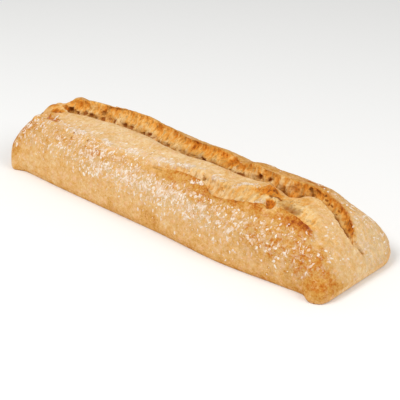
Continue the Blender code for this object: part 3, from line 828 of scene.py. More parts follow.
    toast_lines: Mapping[str, Stations] = field(default_factory=lambda: {
        "sole_middle": ((0.1740, 0.62), (0.1830, 0.16)),
        "sole_front": ((0.1740, 0.50), (0.1815, 0.46), (0.1846, 0.16)),
        "undercut_front": ((-0.1855, 0.36), (0.1700, 0.50), (0.1812, 0.50), (0.1846, 0.22)),
        "haunch_front": ((-0.1855, 0.32), (-0.1000, 0.30), (0.0, 0.34), (0.0900, 0.32), (0.1700, 0.48),
                         (0.1780, 0.54), (0.1840, 0.46)),
        "flank_low_front": ((-0.1855, 0.42), (-0.1300, 0.28), (0.0, 0.30), (0.0800, 0.34), (0.1300, 0.48),
                            (0.1650, 0.57), (0.1790, 0.58), (0.1840, 0.46)),
        "flank_front": ((-0.1855, 0.54), (-0.1500, 0.36), (0.0, 0.38), (0.0800, 0.50), (0.1300, 0.56),
                        (0.1600, 0.63), (0.1770, 0.59), (0.1840, 0.44)),
        "shoulder_front": ((-0.1855, 0.54), (-0.1200, 0.46), (0.0, 0.50), (0.0800, 0.56), (0.1400, 0.55),
                           (0.1600, 0.60), (0.1750, 0.58), (0.1840, 0.40)),
        "lip_root": ((-0.1855, 0.60), (-0.1500, 0.50), (-0.0800, 0.38), (-0.0060, 0.46), (0.0100, 0.53),
                     (0.0600, 0.61), (0.0900, 0.66), (0.1200, 0.62), (0.1320, 0.68), (0.1420, 0.72),
                     (0.1500, 0.64), (0.1600, 0.54), (0.1740, 0.54), (0.1830, 0.38)),
        "lip": ((-0.1855, 0.54), (-0.1500, 0.46), (-0.0800, 0.28), (-0.0080, 0.34), (0.0060, 0.57),
                (0.0900, 0.69), (0.1200, 0.66), (0.1320, 0.72), (0.1400, 0.84), (0.1500, 0.88),
                (0.1600, 0.42), (0.1740, 0.44), (0.1830, 0.32)),
        "tear_foot": ((-0.1855, 0.50), (-0.1500, 0.44), (-0.1000, 0.24), (-0.0080, 0.20), (0.0010, 0.16),
                      (0.0500, 0.10), (0.0900, 0.20), (0.1200, 0.32), (0.1600, 0.34), (0.1830, 0.26)),
        "tear_floor": ((-0.1855, 0.48), (-0.1500, 0.42), (-0.1000, 0.22), (-0.0080, 0.20), (0.0010, 0.12),
                       (0.0500, 0.06), (0.0900, 0.18), (0.1200, 0.24), (0.1600, 0.26), (0.1830, 0.22)),
        "strip_front": ((-0.1855, 0.48), (-0.1500, 0.40), (-0.1200, 0.20), (-0.0060, 0.17), (0.0300, 0.14),
                        (0.0600, 0.20), (0.1000, 0.36), (0.1250, 0.24), (0.1600, 0.22)),
        "strip_middle": ((-0.1855, 0.42), (-0.1500, 0.28), (-0.1000, 0.09), (0.0400, 0.13), (0.0800, 0.24),
                         (0.1000, 0.32), (0.1300, 0.24), (0.1750, 0.18)),
        "strip_rear": ((-0.1855, 0.40), (-0.1500, 0.20), (-0.1000, 0.08), (0.1000, 0.22), (0.1750, 0.16)),
        "groove": ((-0.1740, 0.24), (-0.1500, 0.86), (0.1600, 0.86), (0.1760, 0.18)),
        "wall_foot": ((-0.1740, 0.24), (-0.1500, 0.28), (-0.0800, 0.14), (-0.0300, 0.20), (-0.0080, 0.22),
                      (0.0120, 0.24), (0.0300, 0.22), (0.0480, 0.14), (0.0900, 0.20), (0.1300, 0.38),
                      (0.1600, 0.34), (0.1760, 0.18)),
        "wall_head": ((-0.1740, 0.26), (-0.1500, 0.44), (-0.0800, 0.49), (-0.0400, 0.48), (-0.0080, 0.55),
                      (0.0120, 0.60), (0.0300, 0.58), (0.0480, 0.48), (0.0750, 0.42), (0.1000, 0.38),
                      (0.1150, 0.48), (0.1300, 0.68), (0.1600, 0.66), (0.1760, 0.20)),
        "crest": ((-0.1740, 0.28), (-0.1500, 0.50), (-0.1100, 0.40), (-0.0500, 0.46), (-0.0080, 0.54),
                  (0.0150, 0.60), (0.0500, 0.48), (0.0900, 0.42), (0.1200, 0.64), (0.1600, 0.88),
                  (0.1760, 0.18)),
        "ridge": ((-0.1855, 0.40), (-0.1200, 0.38), (0.0, 0.44), (0.0600, 0.56), (0.1200, 0.56),
                  (0.1740, 0.18)),
        "shoulder_rear": ((-0.1855, 0.40), (0.0, 0.46), (0.0700, 0.55), (0.1300, 0.48), (0.1750, 0.19)),
        "flank_rear": ((-0.1855, 0.38), (0.0, 0.38), (0.1750, 0.21)),
        "flank_low_rear": ((-0.1855, 0.36), (0.0, 0.34), (0.1750, 0.30)),
        "haunch_rear": ((0.0, 0.36), (0.1750, 0.32)), "undercut_rear": ((0.0, 0.42), (0.1800, 0.26)),
        "sole_rear": ((0.1740, 0.50), (0.1825, 0.16)), "sole_close": ((0.1740, 0.62), (0.1830, 0.16))})
    flour_lines: Mapping[str, Stations] = field(default_factory=lambda: {
        "haunch_front": ((-0.1855, 0.0), (0.0500, 0.06), (0.1200, 0.16), (0.1700, 0.24)),
        "flank_low_front": ((-0.1855, 0.08), (-0.1000, 0.10), (0.0, 0.26), (0.0800, 0.34), (0.1400, 0.38),
                            (0.1700, 0.44)),
        "flank_front": ((-0.1855, 0.40), (-0.1300, 0.46), (-0.0500, 0.76), (0.0500, 0.86), (0.1200, 0.52),
                        (0.1750, 0.46)),
        "shoulder_front": ((-0.1855, 0.50), (-0.1300, 0.48), (-0.0500, 0.64), (0.0, 0.44), (0.0500, 0.34),
                           (0.1300, 0.40), (0.1500, 0.52), (0.1750, 0.42)),
        "lip_root": ((-0.1855, 0.56), (-0.1200, 0.48), (-0.0500, 0.50), (0.0, 0.10), (0.0900, 0.02),
                     (0.1450, 0.06), (0.1600, 0.44)),
        "lip": ((-0.1855, 0.52), (-0.1200, 0.46), (-0.0500, 0.42), (-0.0060, 0.12), (0.0, 0.0),
                (0.1500, 0.0), (0.1650, 0.46)),
        "tear_foot": ((-0.1855, 0.46), (-0.1000, 0.44), (-0.0300, 0.36), (-0.0060, 0.0), (0.1500, 0.0),
                      (0.1650, 0.40)),
        "tear_floor": ((-0.1855, 0.42), (-0.1000, 0.40), (-0.0300, 0.30), (-0.0060, 0.0), (0.1500, 0.06),
                       (0.1650, 0.40)),
        "strip_front": ((-0.1855, 0.40), (-0.0700, 0.40), (0.0, 0.26), (0.0900, 0.08), (0.1200, 0.0),
                        (0.1650, 0.34)),
        "strip_middle": ((-0.1855, 0.30), (-0.1500, 0.06), (0.1400, 0.03), (0.1750, 0.36)),
        "groove": PAST_SLASH, "wall_foot": PAST_SLASH, "wall_head": PAST_SLASH,
        "strip_rear": ((0.1600, 0.0), (0.1760, 0.34)), "crest": ((0.1600, 0.0), (0.1770, 0.34)),
        "ridge": ((-0.1855, 0.10), (-0.0500, 0.04), (0.0600, 0.04), (0.1100, 0.10), (0.1400, 0.40),
                  (0.1750, 0.60)),
        "shoulder_rear": ((-0.1855, 0.22), (0.0, 0.14), (0.1000, 0.20), (0.1400, 0.50), (0.1750, 0.66)),
        "flank_rear": ((-0.1855, 0.30), (0.1750, 0.66)),
        "flank_low_rear": ((-0.1855, 0.16), (0.1750, 0.34))})
    edge_lines: Mapping[str, Stations] = field(default_factory=lambda: {
        "wall_head": ((0.0, 0.5),), "crest": ((-0.1500, 1.0), (-0.1250, 0.9), (-0.1000, 0.3), (0.1700, 0.3)),
        "lip": ((0.0, 0.4),)})
    # Painted shade in the groove and at the wall's foot.
    groove_shade_lines: Mapping[str, Stations] = field(default_factory=lambda: {
        "groove": EVERYWHERE, "wall_foot": ((0.0, 0.45),)})
    # Painted shade of deep places along the loaf.
    painted_shade_lines: Mapping[str, Stations] = field(default_factory=lambda: {
        "tear_foot": ((-0.0080, 0.0), (0.0050, 0.34), (0.0900, 0.30), (0.1000, 0.10), (0.1180, 0.32),
                      (0.1400, 0.24), (0.1560, 0.0)),
        "tear_floor": ((-0.0080, 0.0), (0.0050, 0.18), (0.0500, 0.18), (0.0800, 0.30), (0.0950, 0.16),
                       (0.1180, 0.32), (0.1400, 0.20), (0.1560, 0.0)),
        "strip_front": ((0.0200, 0.0), (0.0600, 0.14), (0.0850, 0.22), (0.0950, 0.0)),
        "wall_foot": ((-0.1500, 0.10), (-0.1000, 0.24), (-0.0300, 0.20), (0.0150, 0.30), (0.0400, 0.22),
                      (0.0600, 0.12), (0.1180, 0.06), (0.1320, 0.30), (0.1650, 0.38), (0.1740, 0.0)),
        "wall_head": ((0.1150, 0.0), (0.1300, 0.17), (0.1600, 0.14), (0.1740, 0.0))})
    patches: Mapping[Tone, tuple[Patch, ...]] = field(default_factory=lambda: {
        Tone.CRUMB: (
            # The bump.
            Patch((0.0970, -0.0150, 0.0524), (0.1050, -0.0080, 0.0525), 0.0082, 0.90),
            # The left end's hollow and the lump beside it.
            Patch((-0.1600, -0.0080, 0.0497), (-0.1550, -0.0060, 0.0500), 0.0045, 0.80),
            Patch((-0.1661, -0.0040, 0.0515), (-0.1560, -0.0020, 0.0510), 0.0075, 0.50),
            # The valley.
            Patch((0.1207, -0.0152, 0.0483), (0.1343, -0.0186, 0.0475), 0.0080, 0.40)),
        Tone.TOAST: (
            # The front crust, between the flour and along the foot.
            Patch((-0.1192, -0.0376, 0.0434), (-0.1041, -0.0388, 0.0432), 0.0065, 0.10),
            Patch((-0.0891, -0.0417, 0.0403), (-0.0376, -0.0362, 0.0450), 0.0060, 0.15),
            Patch((-0.1362, -0.0325, 0.0459), (-0.1300, -0.0335, 0.0450), 0.0050, 0.08),
            Patch((-0.1768, -0.0479, 0.0193), (-0.1700, -0.0350, 0.0380), 0.0120, 0.14),
            Patch((-0.0016, -0.0506, 0.0172), (0.0145, -0.0517, 0.0103), 0.0060, 0.12),
            # The near corner and its rim.
            Patch((0.1600, -0.0480, 0.0200), (0.1810, -0.0465, 0.0080), 0.0180, 0.04),
            Patch((0.1640, -0.0400, 0.0260), (0.1780, -0.0400, 0.0160), 0.0150, 0.08),
            Patch((0.1831, -0.0371, 0.0090), (0.1842, -0.0300, 0.0070), 0.0070, 0.06),
            # The bump, the pale rim of the lobe's hole and the wall's wide pocket.
            Patch((0.0970, -0.0150, 0.0524), (0.1050, -0.0080, 0.0525), 0.0078, 0.42),
            Patch((0.1095, -0.0210, 0.0508), (0.1160, -0.0290, 0.0495), 0.0078, -0.34),
            Patch((0.1052, 0.0121, 0.0446), (0.1060, 0.0121, 0.0446), 0.0056, 0.12),
            # The ear's edge, and the strip beside its right end.
            Patch((-0.1486, 0.0138, 0.0591), (-0.1412, 0.0107, 0.0539), 0.0075, 0.16),
            Patch((0.0205, 0.0193, 0.0520), (0.0345, 0.0119, 0.0504), 0.0070, 0.08),
            Patch((0.1111, 0.0231, 0.0531), (0.1279, 0.0230, 0.0516), 0.0035, 0.20),
            Patch((0.1619, 0.0085, 0.0375), (0.1689, 0.0027, 0.0355), 0.0045, 0.24),
            Patch((0.1250, 0.0030, 0.0457), (0.1290, -0.0010, 0.0470), 0.0050, 0.16),
            # The left end's front crease, and the scoop in the wall.
            Patch((-0.1560, -0.0195, 0.0475), (-0.1400, -0.0226, 0.0490), 0.0036, 0.46),
            Patch((0.0360, 0.0090, 0.0480), (0.0380, 0.0105, 0.0520), 0.0080, 0.16),
            # The left end's hollow and the lump beside it.
            Patch((-0.1600, -0.0080, 0.0497), (-0.1550, -0.0060, 0.0500), 0.0050, 0.46),
            Patch((-0.1720, -0.0030, 0.0505), (-0.1661, -0.0025, 0.0521), 0.0050, 0.34),
            # The fold across the strip, and the lip's right end.
            Patch((0.0486, -0.0012, 0.0506), (0.0639, -0.0256, 0.0478), 0.0030, 0.24),
            Patch((0.1180, -0.0330, 0.0450), (0.1480, -0.0285, 0.0430), 0.0040, 0.10)),
        Tone.FLOUR: (
            # Streaks of flour on the strip and the lobe.
            Patch((-0.1110, -0.0290, 0.0490), (-0.0980, -0.0270, 0.0510), 0.0034, 1.30),
            Patch((-0.0720, -0.0260, 0.0520), (-0.0620, -0.0290, 0.0504), 0.0034, 1.10),
            Patch((-0.0406, -0.0258, 0.0510), (-0.0330, -0.0273, 0.0504), 0.0032, 0.90),
            Patch((-0.0084, -0.0215, 0.0509), (0.0096, -0.0222, 0.0511), 0.0034, 0.80),
            Patch((0.0096, -0.0222, 0.0511), (0.0260, -0.0185, 0.0521), 0.0034, 0.90),
            Patch((0.0310, -0.0180, 0.0525), (0.0340, -0.0160, 0.0525), 0.0030, 0.80),
            Patch((0.0514, -0.0199, 0.0515), (0.0600, -0.0190, 0.0515), 0.0034, 1.50),
            Patch((0.0734, -0.0221, 0.0514), (0.0767, -0.0128, 0.0519), 0.0028, 1.40),
            Patch((0.0767, -0.0128, 0.0519), (0.0888, -0.0113, 0.0526), 0.0030, 1.40),
            Patch((0.1015, -0.0300, 0.0493), (0.1069, -0.0260, 0.0509), 0.0034, 1.10),
            # Flour on the lip, little on the near corner, and more past the lip's right end.
            Patch((0.0377, -0.0357, 0.0491), (0.0515, -0.0341, 0.0503), 0.0014, 1.00),
            Patch((0.1740, -0.0500, 0.0060), (0.1830, -0.0420, 0.0080), 0.0150, -0.50),
            Patch((0.1532, -0.0263, 0.0411), (0.1560, -0.0290, 0.0390), 0.0050, 0.50)),
        Tone.DEPTH: (
            # Painted shade under the left end's hollow, and in the fine cracks across the strip.
            Patch((-0.1600, -0.0105, 0.0480), (-0.1480, -0.0100, 0.0504), 0.0014, 0.70),
            Patch((-0.0992, -0.0047, 0.0527), (-0.0984, -0.0127, 0.0523), 0.0010, 0.40),
            Patch((-0.0699, -0.0040, 0.0528), (-0.0700, -0.0171, 0.0520), 0.0009, 0.36),
            Patch((-0.0213, -0.0151, 0.0527), (-0.0196, -0.0214, 0.0520), 0.0010, 0.50),
            # Painted shade in the creases beside the lip and on the left end.
            Patch((-0.0035, -0.0352, 0.0488), (0.0060, -0.0352, 0.0488), 0.0010, 0.60),
            Patch((-0.1650, -0.0120, 0.0490), (-0.1560, -0.0100, 0.0508), 0.0016, 0.35),
            # Painted shade in the cleft behind the bump, and in the valley.
            Patch((0.1070, -0.0165, 0.0510), (0.1080, -0.0115, 0.0485), 0.0021, 1.10),
            Patch((0.1080, -0.0115, 0.0485), (0.1124, -0.0122, 0.0495), 0.0019, 1.10),
            Patch((0.1155, -0.0132, 0.0489), (0.1300, -0.0174, 0.0474), 0.0052, 0.46),
            # Painted shade in the short crease past the slash's tip.
            Patch((0.1781, 0.0025, 0.0238), (0.1803, 0.0037, 0.0198), 0.0018, 0.54))})

    def crust_relief(self, places: np.ndarray) -> np.ndarray:
        """Height of the baked crust's blisters, pebbles, wrinkles and folds.

        Args:
            places: The skin's points, one to a row.

        Returns:
            How far each point is raised.
        """
        high = self.blisters.relief(places) + self.pebbles.relief(places) + self.wrinkles.relief(places)
        for fold in self.folds:
            high += fold.height * fold.near(places) ** self.fold_sharpness
        return high

    def crumb_relief(self, places: np.ndarray, edge: np.ndarray) -> tuple[np.ndarray, np.ndarray]:
        """Height of the torn crumb's strands and slits and of the ragged edges, with the light and shade
        painted by them.

        Args:
            places: Points of the skin, one to a row.
            edge: How near each is to a torn edge.

        Returns:
            How far each point is raised, and the painted shade and light that its relief adds to its toast.
        """
        strands = self.strands.waves(places)
        ragged = self.ragged_edges.waves(places)
        gaps = cells(places, self.slits.lengths, self.slits.seed)
        slits = np.clip(1.0 - gaps / self.slit_reach, 0.0, 1.0)
        hollows = np.clip(self.hollow_level - self.hollows.waves(places), 0.0, 1.0)
        high = self.strands.height * strands + self.crumbs.relief(places) - self.slits.height * slits
        high += edge * self.ragged_edges.height * ragged - (1.0 - edge) * self.hollows.height * hollows
        # Painted light and shade: the strands and ragged peaks paler, the slits and hollows darker.
        painted_relief_shading = self.slit_shade * slits - self.strand_light * strands - self.edge_peak_light * edge * ragged
        painted_relief_shading += (1.0 - edge) * self.hollow_shade * (hollows - self.hollow_level)
        return high, painted_relief_shading

    def pocket_relief(self, places: np.ndarray) -> tuple[np.ndarray, np.ndarray]:
        """Depth of the pockets, and the shade painted inside them.

        Args:
            places: The skin's points, one to a row.

        Returns:
            How far each point is raised, and how much shade is painted on it for lying in a pocket.
        """
        high, dark = np.zeros(len(places)), np.zeros(len(places))
        swayed = places + np.stack([sway.relief(places) for sway in self.sway], axis=1)
        for pocket in self.pockets:
            near = pocket.near(swayed)
            if not pocket.bowl:
                high -= pocket.depth * near
            # Painted shade inside each pocket.
            dark = np.maximum(dark, pocket.dark * np.minimum(1.0, self.pocket_shade * near))
        return high, dark


class Skin:
    """The fine skin of the loaf: its mesh, and the tones of its points."""

    def __init__(self, form: LoafForm, detail: LoafDetail) -> None:
        """Lofts the skin, raises its relief and lays its tones.

        Args:
            form: The sizes of the loaf.
            detail: The fine relief and the tones.
        """
        self.form = form
        self.detail = detail
        self.x = form.places()
        rings = form.rings(self.x)
        self.shape = rings.shape[:2]
        self.mesh = self._closed_mesh("loaf_skin", rings.reshape(-1, 3))
        base = rings.reshape(-1, 3)
        self.tones = {
            Tone.CRUMB: self._opened(detail.crumb_lines), Tone.TOAST: self._named_rows(detail.toast_lines),
            Tone.FLOUR: self._named_rows(detail.flour_lines)}
        solid_form = base + self.normals() * form.relief(base, form.crags(self.x).ravel())[:, None]
        self._move(solid_form)
        self._raise_detail(solid_form)
        self._calm_rims(base)
        self._centre(solid_form)
        self._write_tones()

    def _closed_mesh(self, name: str, points: np.ndarray) -> bpy.types.Mesh:
        """A closed mesh through rings of points, with a lid at each end.

        Args:
            name: The mesh's name.
            points: The rings' points, one to a row.

        Returns:
            The mesh, with its faces outwards.
        """
        rings, steps = self.shape
        grid = np.arange(rings * steps).reshape(rings, steps)
        after = np.roll(grid, -1, axis=1)
        quads = np.stack((grid[:-1], grid[1:], after[1:], after[:-1]), axis=2).reshape(-1, 4)
        faces = quads.tolist() + [grid[0].tolist(), grid[-1][::-1].tolist()]
        mesh = bpy.data.meshes.new(name)
        mesh.from_pydata(points.tolist(), [], faces)
        mesh.update()
        mesh.shade_smooth()
        return mesh

    def points(self) -> np.ndarray:
        """The mesh's points.

        Returns:
            The points, one to a row.
        """
        flat = np.empty(len(self.mesh.vertices) * 3)
        self.mesh.vertices.foreach_get("co", flat)
        return flat.reshape(-1, 3)

    def normals(self) -> np.ndarray:
        """The mesh's normals.

        Returns:
            The normal at every point, one to a row.
        """
        flat = np.empty(len(self.mesh.vertices) * 3)
        self.mesh.vertex_normals.foreach_get("vector", flat)
        return flat.reshape(-1, 3)

    def _move(self, points: np.ndarray) -> None:
        """Moves the mesh's points to the places given, one to a row."""
        self.mesh.vertices.foreach_set("co", points.ravel())
        self.mesh.update()

    def _named_rows(self, lines: Mapping[str, Stations]) -> np.ndarray:
        """Values from lines along x at some named points of the sections.

        Args:
            lines: The line of each of these points. The others have 0.

        Returns:
            One value for every point of the skin.
        """
        nothing = ((0.0, 0.0),)
        rows = {point.name: along(lines.get(point.name, nothing), self.x) for point in SECTION}
        return self.form.around(rows).ravel()

    def _patch(self, tone: Tone, places: np.ndarray, value: np.ndarray) -> np.ndarray:
        """A tone's values with its patches laid over them.

        Args:
            tone: The tone.
            places: The skin's points, one to a row.
            value: The tone's value at each.

        Returns:
            The new values.
        """
        for patch in self.detail.patches[tone]:
            near = patch.near(places)
            value = value + patch.amount * near * (2.0 - near)
        return value

    def _raise_detail(self, places: np.ndarray) -> None:
        """Raises the fine relief, paints its light and shade on the crumb, and works out each point's
        painted shade.

        Args:
            places: The skin's points with the solid's own relief, one to a row.
        """
        detail, tones = self.detail, self.tones
        for tone in tones:
            tones[tone] = self._patch(tone, places, tones[tone])
        crumb = np.clip(tones[Tone.CRUMB], 0.0, 1.0)
        tones[Tone.CRUMB] = crumb
        edge = self._opened(detail.edge_lines)
        high = (1.0 - crumb) * detail.crust_relief(places)
        torn = np.flatnonzero(np.maximum(crumb, edge) > detail.least_torn)
        rough, painted_relief_shading = detail.crumb_relief(places[torn], edge[torn])
        share = np.maximum(crumb, edge)[torn]
        high[torn] += share * rough
        # Paints the crumb's light and shade into its toast.
        tones[Tone.TOAST][torn] += share * painted_relief_shading
        hollow, dark = detail.pocket_relief(places)
        fade = ease(places[:, 2], detail.sole_margin, self.form.flat_sole_height / 2.0)
        normals = self.normals()
        moved = places + normals * ((high + hollow) * fade)[:, None]
        tones[Tone.FLOUR] = tones[Tone.FLOUR] * (1.0 - dark)
        # Painted shade in the groove and other deep places, and inside the pockets.
        wave = np.clip(detail.groove_shade + detail.groove_shade_waves.relief(places), 0.0, 1.0)
        shaded = self._opened(detail.groove_shade_lines) * wave + self._opened(detail.painted_shade_lines)
        depth = self._patch(Tone.DEPTH, places, np.maximum(dark, shaded))
        tones[Tone.DEPTH] = np.clip(depth, 0.0, 1.0)
        for pocket in detail.pockets:
            if pocket.bowl:
                self._scoop(pocket, places, normals, moved)
        self._move(moved)

    def _calm_rims(self, base: np.ndarray) -> None:
        """Lets the relief die away in the narrow rims of both ends, where the skin would fold over itself.

        Args:
            base: The skin's points before any relief, one to a row.
        """
        gap = np.minimum(self.x - self.form.left_end, self.form.right_end - self.x)
        share = np.repeat(ease(gap, *self.detail.calm_rim), self.shape[1])
        self._move(base + (self.points() - base) * share[:, None])

    def _scoop(self, pocket: Pocket, places: np.ndarray, normals: np.ndarray, moved: np.ndarray) -> None:
        """Levels the skin at a pocket's mouth and scoops a bowl into it.

        Args:
            pocket: The pocket.
            places: The skin's points with the solid's own relief, one to a row.
            normals: The skin's normal at each.
            moved: The skin's points with the fine relief, which are changed.
        """
        detail = self.detail
        near = pocket.near(places)
        inside = np.flatnonzero(near)
        near = near[inside]
        out = (normals[inside] * near[:, None]).sum(axis=0)
        out /= np.linalg.norm(out)
        height = (moved[inside] - moved[inside].mean(axis=0)) @ out
        height -= height[near < detail.bowl_rim].mean()
        wanted = -pocket.depth * ease(near, *detail.bowl_slope)
        moved[inside] += ((wanted - height) * ease(near, *detail.bowl_edge))[:, None] * out
        lining = ease(near, *detail.bowl_lining)
        for tone, value in ((Tone.CRUMB, 1.0), (Tone.TOAST, pocket.toast), (Tone.DEPTH, 0.0)):
            self.tones[tone][inside] += (value - self.tones[tone][inside]) * lining

    def _opened(self, lines: Mapping[str, Stations]) -> np.ndarray:
        """Values at every point of the skin, from lines that count only where the slash is open."""
        return self._named_rows(lines) * np.repeat(self.form.opening(self.x), self.shape[1])

    def _centre(self, solid_form: np.ndarray) -> None:
        """Stands the skin where the solid stands, with the middle of its box over the origin.

        Args:
            solid_form: The skin's points with only the solid's own relief, one to a row.
        """
        low, high = solid_form.min(axis=0), solid_form.max(axis=0)
        middle = np.array([(low[0] + high[0]) / 2.0, (low[1] + high[1]) / 2.0, low[2]])
        self._move(self.points() - middle)

    def _write_tones(self) -> None:
        """Keeps every tone as a value on the mesh's points, for the finish to read."""
        for tone, value in self.tones.items():
            layer = self.mesh.attributes.new(tone.value, "FLOAT", "POINT")
            layer.data.foreach_set("value", np.clip(value, 0.0, 1.0).astype(np.float32))

    def build(self, finish: CrustFinish) -> bpy.types.Object:
        """The skin as a piece that stands for the solid.

        Args:
            finish: The crust's finish.

        Returns:
            The piece.
        """
        self.mesh.materials.append(finish.material())
        piece = bpy.data.objects.new("loaf_skin", self.mesh)
        bpy.context.scene.collection.objects.link(piece)
        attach(piece, "root")
        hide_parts("loaf")
        return piece


@dataclass(frozen=True)
class FlourFlecks:
    """Small flakes of dried flour that stick to the crust.

    Attributes:
        count: How many are laid.
        corners: How many corners the rim of one has.
        small: The radius of the smallest.
        large: The radius of the largest.
        size_power: How rare the large ones are.
        stretch: How much longer than round the longest is, as a share.
        lean: How far they are turned away from lying across the loaf, in radians.
        spread: How much the corners of a rim differ in their distance from the middle.
        scatter: How far they lie from the skin's points.
        height: How thick a large one is.
        thin_share: How thick the thinnest would be, as a share of that.
        top_share: How wide the top of one is, as a share of its rim.
        sink: How far the rim lies below the crust's surface.
        clusters: Where they lie closer together, in broad clusters and in fine ones.
        cluster_level: How closely they lie between clusters.
        flour_power: How much closer they lie where there is more flour.
        thickest: The flour tone above which they lie no closer.
        density: How closely they lie along the loaf, as (x, share) stations.
        seed: The start of the random draws.
    """

    count: int = 4500
    corners: int = 7
    small: float = 0.00038
    large: float = 0.00150
    size_power: float = 2.5
    stretch: float = 0.9
    lean: float = 0.7
    spread: tuple[float, float] = (0.6, 1.25)
    scatter: float = 0.0004
    height: float = 0.00022
    thin_share: float = 0.5
    top_share: float = 0.62
    sink: float = 0.00010
    clusters: tuple[Grain, Grain] = (
        Grain(1.0, (0.0060,) * 3, 31.0), Grain(1.0, (0.0024,) * 3, 37.0))
    cluster_level: float = 0.45
    flour_power: float = 1.6
    thickest: float = 1.8
    density: Stations = ((-0.1855, 0.8), (-0.0500, 1.0), (0.0900, 1.0), (0.1300, 0.6), (0.1600, 0.44))
    seed: int = 11

    def _weights(self, skin: Skin, points: np.ndarray) -> np.ndarray:
        """How likely a fleck is to lie on each point of the skin.

        Args:
            skin: The skin.
            points: Its points, one to a row.

        Returns:
            One weight for each point, which add up to 1.
        """
        grid = points.reshape(*skin.shape, 3)
        area = np.linalg.norm(np.roll(grid, -1, axis=1) - grid, axis=2)
        area *= np.gradient(skin.x)[:, None]
        flour = np.clip(skin.tones[Tone.FLOUR], 0.0, self.thickest)
        broad, fine = (cluster.relief(points) for cluster in self.clusters)
        weight = area.ravel() * flour ** self.flour_power
        weight *= np.clip(self.cluster_level + broad + fine, 0.0, None)
        weight *= np.clip(1.0 - skin.tones[Tone.CRUMB], 0.0, 1.0) * along(self.density, points[:, 0])
        return weight / weight.sum()

    def _rings(self, random: np.random.Generator, point: np.ndarray, normal: np.ndarray) -> np.ndarray:
        """The rim of one fleck, sunk in the crust, and the edge of its top.

        Args:
            random: The random draws.
            point: The point of the skin that it lies on.
            normal: The skin's normal there.

        Returns:
            The corners of the rim and then those of the top, one to a row.
        """
        side = np.cross(normal, (1.0, 0.0, 0.0))
        side /= np.linalg.norm(side)
        ahead = np.cross(side, normal)
        size = self.small + (self.large - self.small) * random.random() ** self.size_power
        stretch = 1.0 + self.stretch * random.random()
        lean = random.normal(0.0, self.lean)
        reach = size * random.uniform(*self.spread, self.corners)
        turn = np.linspace(0.0, 2.0 * math.pi, self.corners, endpoint=False)
        u, v = reach * np.cos(turn) * stretch, reach * np.sin(turn) / math.sqrt(stretch)
        across = u * math.cos(lean) - v * math.sin(lean)
        beside = u * math.sin(lean) + v * math.cos(lean)
        flat = across[:, None] * side + beside[:, None] * ahead
        centre = point + side * random.normal(0.0, self.scatter) + ahead * random.normal(0.0, self.scatter)
        thick = self.height * (self.thin_share + (1.0 - self.thin_share) * size / self.large)
        rim = centre + flat - normal * self.sink
        top = centre + self.top_share * flat + normal * thick
        return np.concatenate((rim, top))

    def _faces(self, first: int) -> list[tuple[int, ...]]:
        """The faces of one fleck.

        Args:
            first: The number of its first point.

        Returns:
            The point numbers of its sides and its top.
        """
        rim = list(range(first, first + self.corners))
        sides = [(here, there, there + self.corners, here + self.corners)
                 for here, there in zip(rim, rim[1:] + rim[:1])]
        return sides + [tuple(corner + self.corners for corner in rim)]

    def build(self, skin: Skin, finish: FlourFinish) -> bpy.types.Object:
        """Lays the flecks on the skin.

        Args:
            skin: The skin they lie on.
            finish: The flour's finish.

        Returns:
            The piece.
        """
        random = np.random.default_rng(self.seed)
        points, normals = skin.points(), skin.normals()
        verts, faces, tints = [], [], []
        for index in random.choice(len(points), self.count, p=self._weights(skin, points)):
            faces.extend(self._faces(len(verts)))
            verts.extend(self._rings(random, points[index], normals[index]).tolist())
            tints.extend([random.random()] * (2 * self.corners))
        mesh = bpy.data.meshes.new("flour_flecks")
        mesh.from_pydata(verts, [], faces)
        mesh.update()
        mesh.shade_smooth()
        layer = mesh.attributes.new(FLECK_TINT, "FLOAT", "POINT")
        layer.data.foreach_set("value", np.array(tints, dtype=np.float32))
        mesh.materials.append(finish.material())
        piece = bpy.data.objects.new("flour_flecks", mesh)
        bpy.context.scene.collection.objects.link(piece)
        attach(piece, "root")
        return piece


@dataclass(frozen=True)
class Cloud:
    """A cloudy unevenness of a finish.

    Attributes:
        length: The length of its largest waves.
        detail: How many finer waves it has.
        rough: How strong they are.
        stretch: How much longer the waves are along X, Y and Z.
    """

    length: float
    detail: float = 3.0
    rough: float = 0.65
    stretch: Place = (1.0, 1.0, 1.0)


@dataclass(frozen=True)
class Step:
    """A smooth step of one value as another rises.

    Attributes:
        low: The other value where the step begins.
        high: The other value where it ends.
        start: The value before the step.
        end: The value after it.
    """

    low: float
    high: float
    start: float = 0.0
    end: float = 1.0


@dataclass(frozen=True)
class Bump:
    """A fine relief in the shading.

    Attributes:
        height: How high it stands.
        strength: How strongly it shows, from 0 to 1.
    """

    height: float
    strength: float


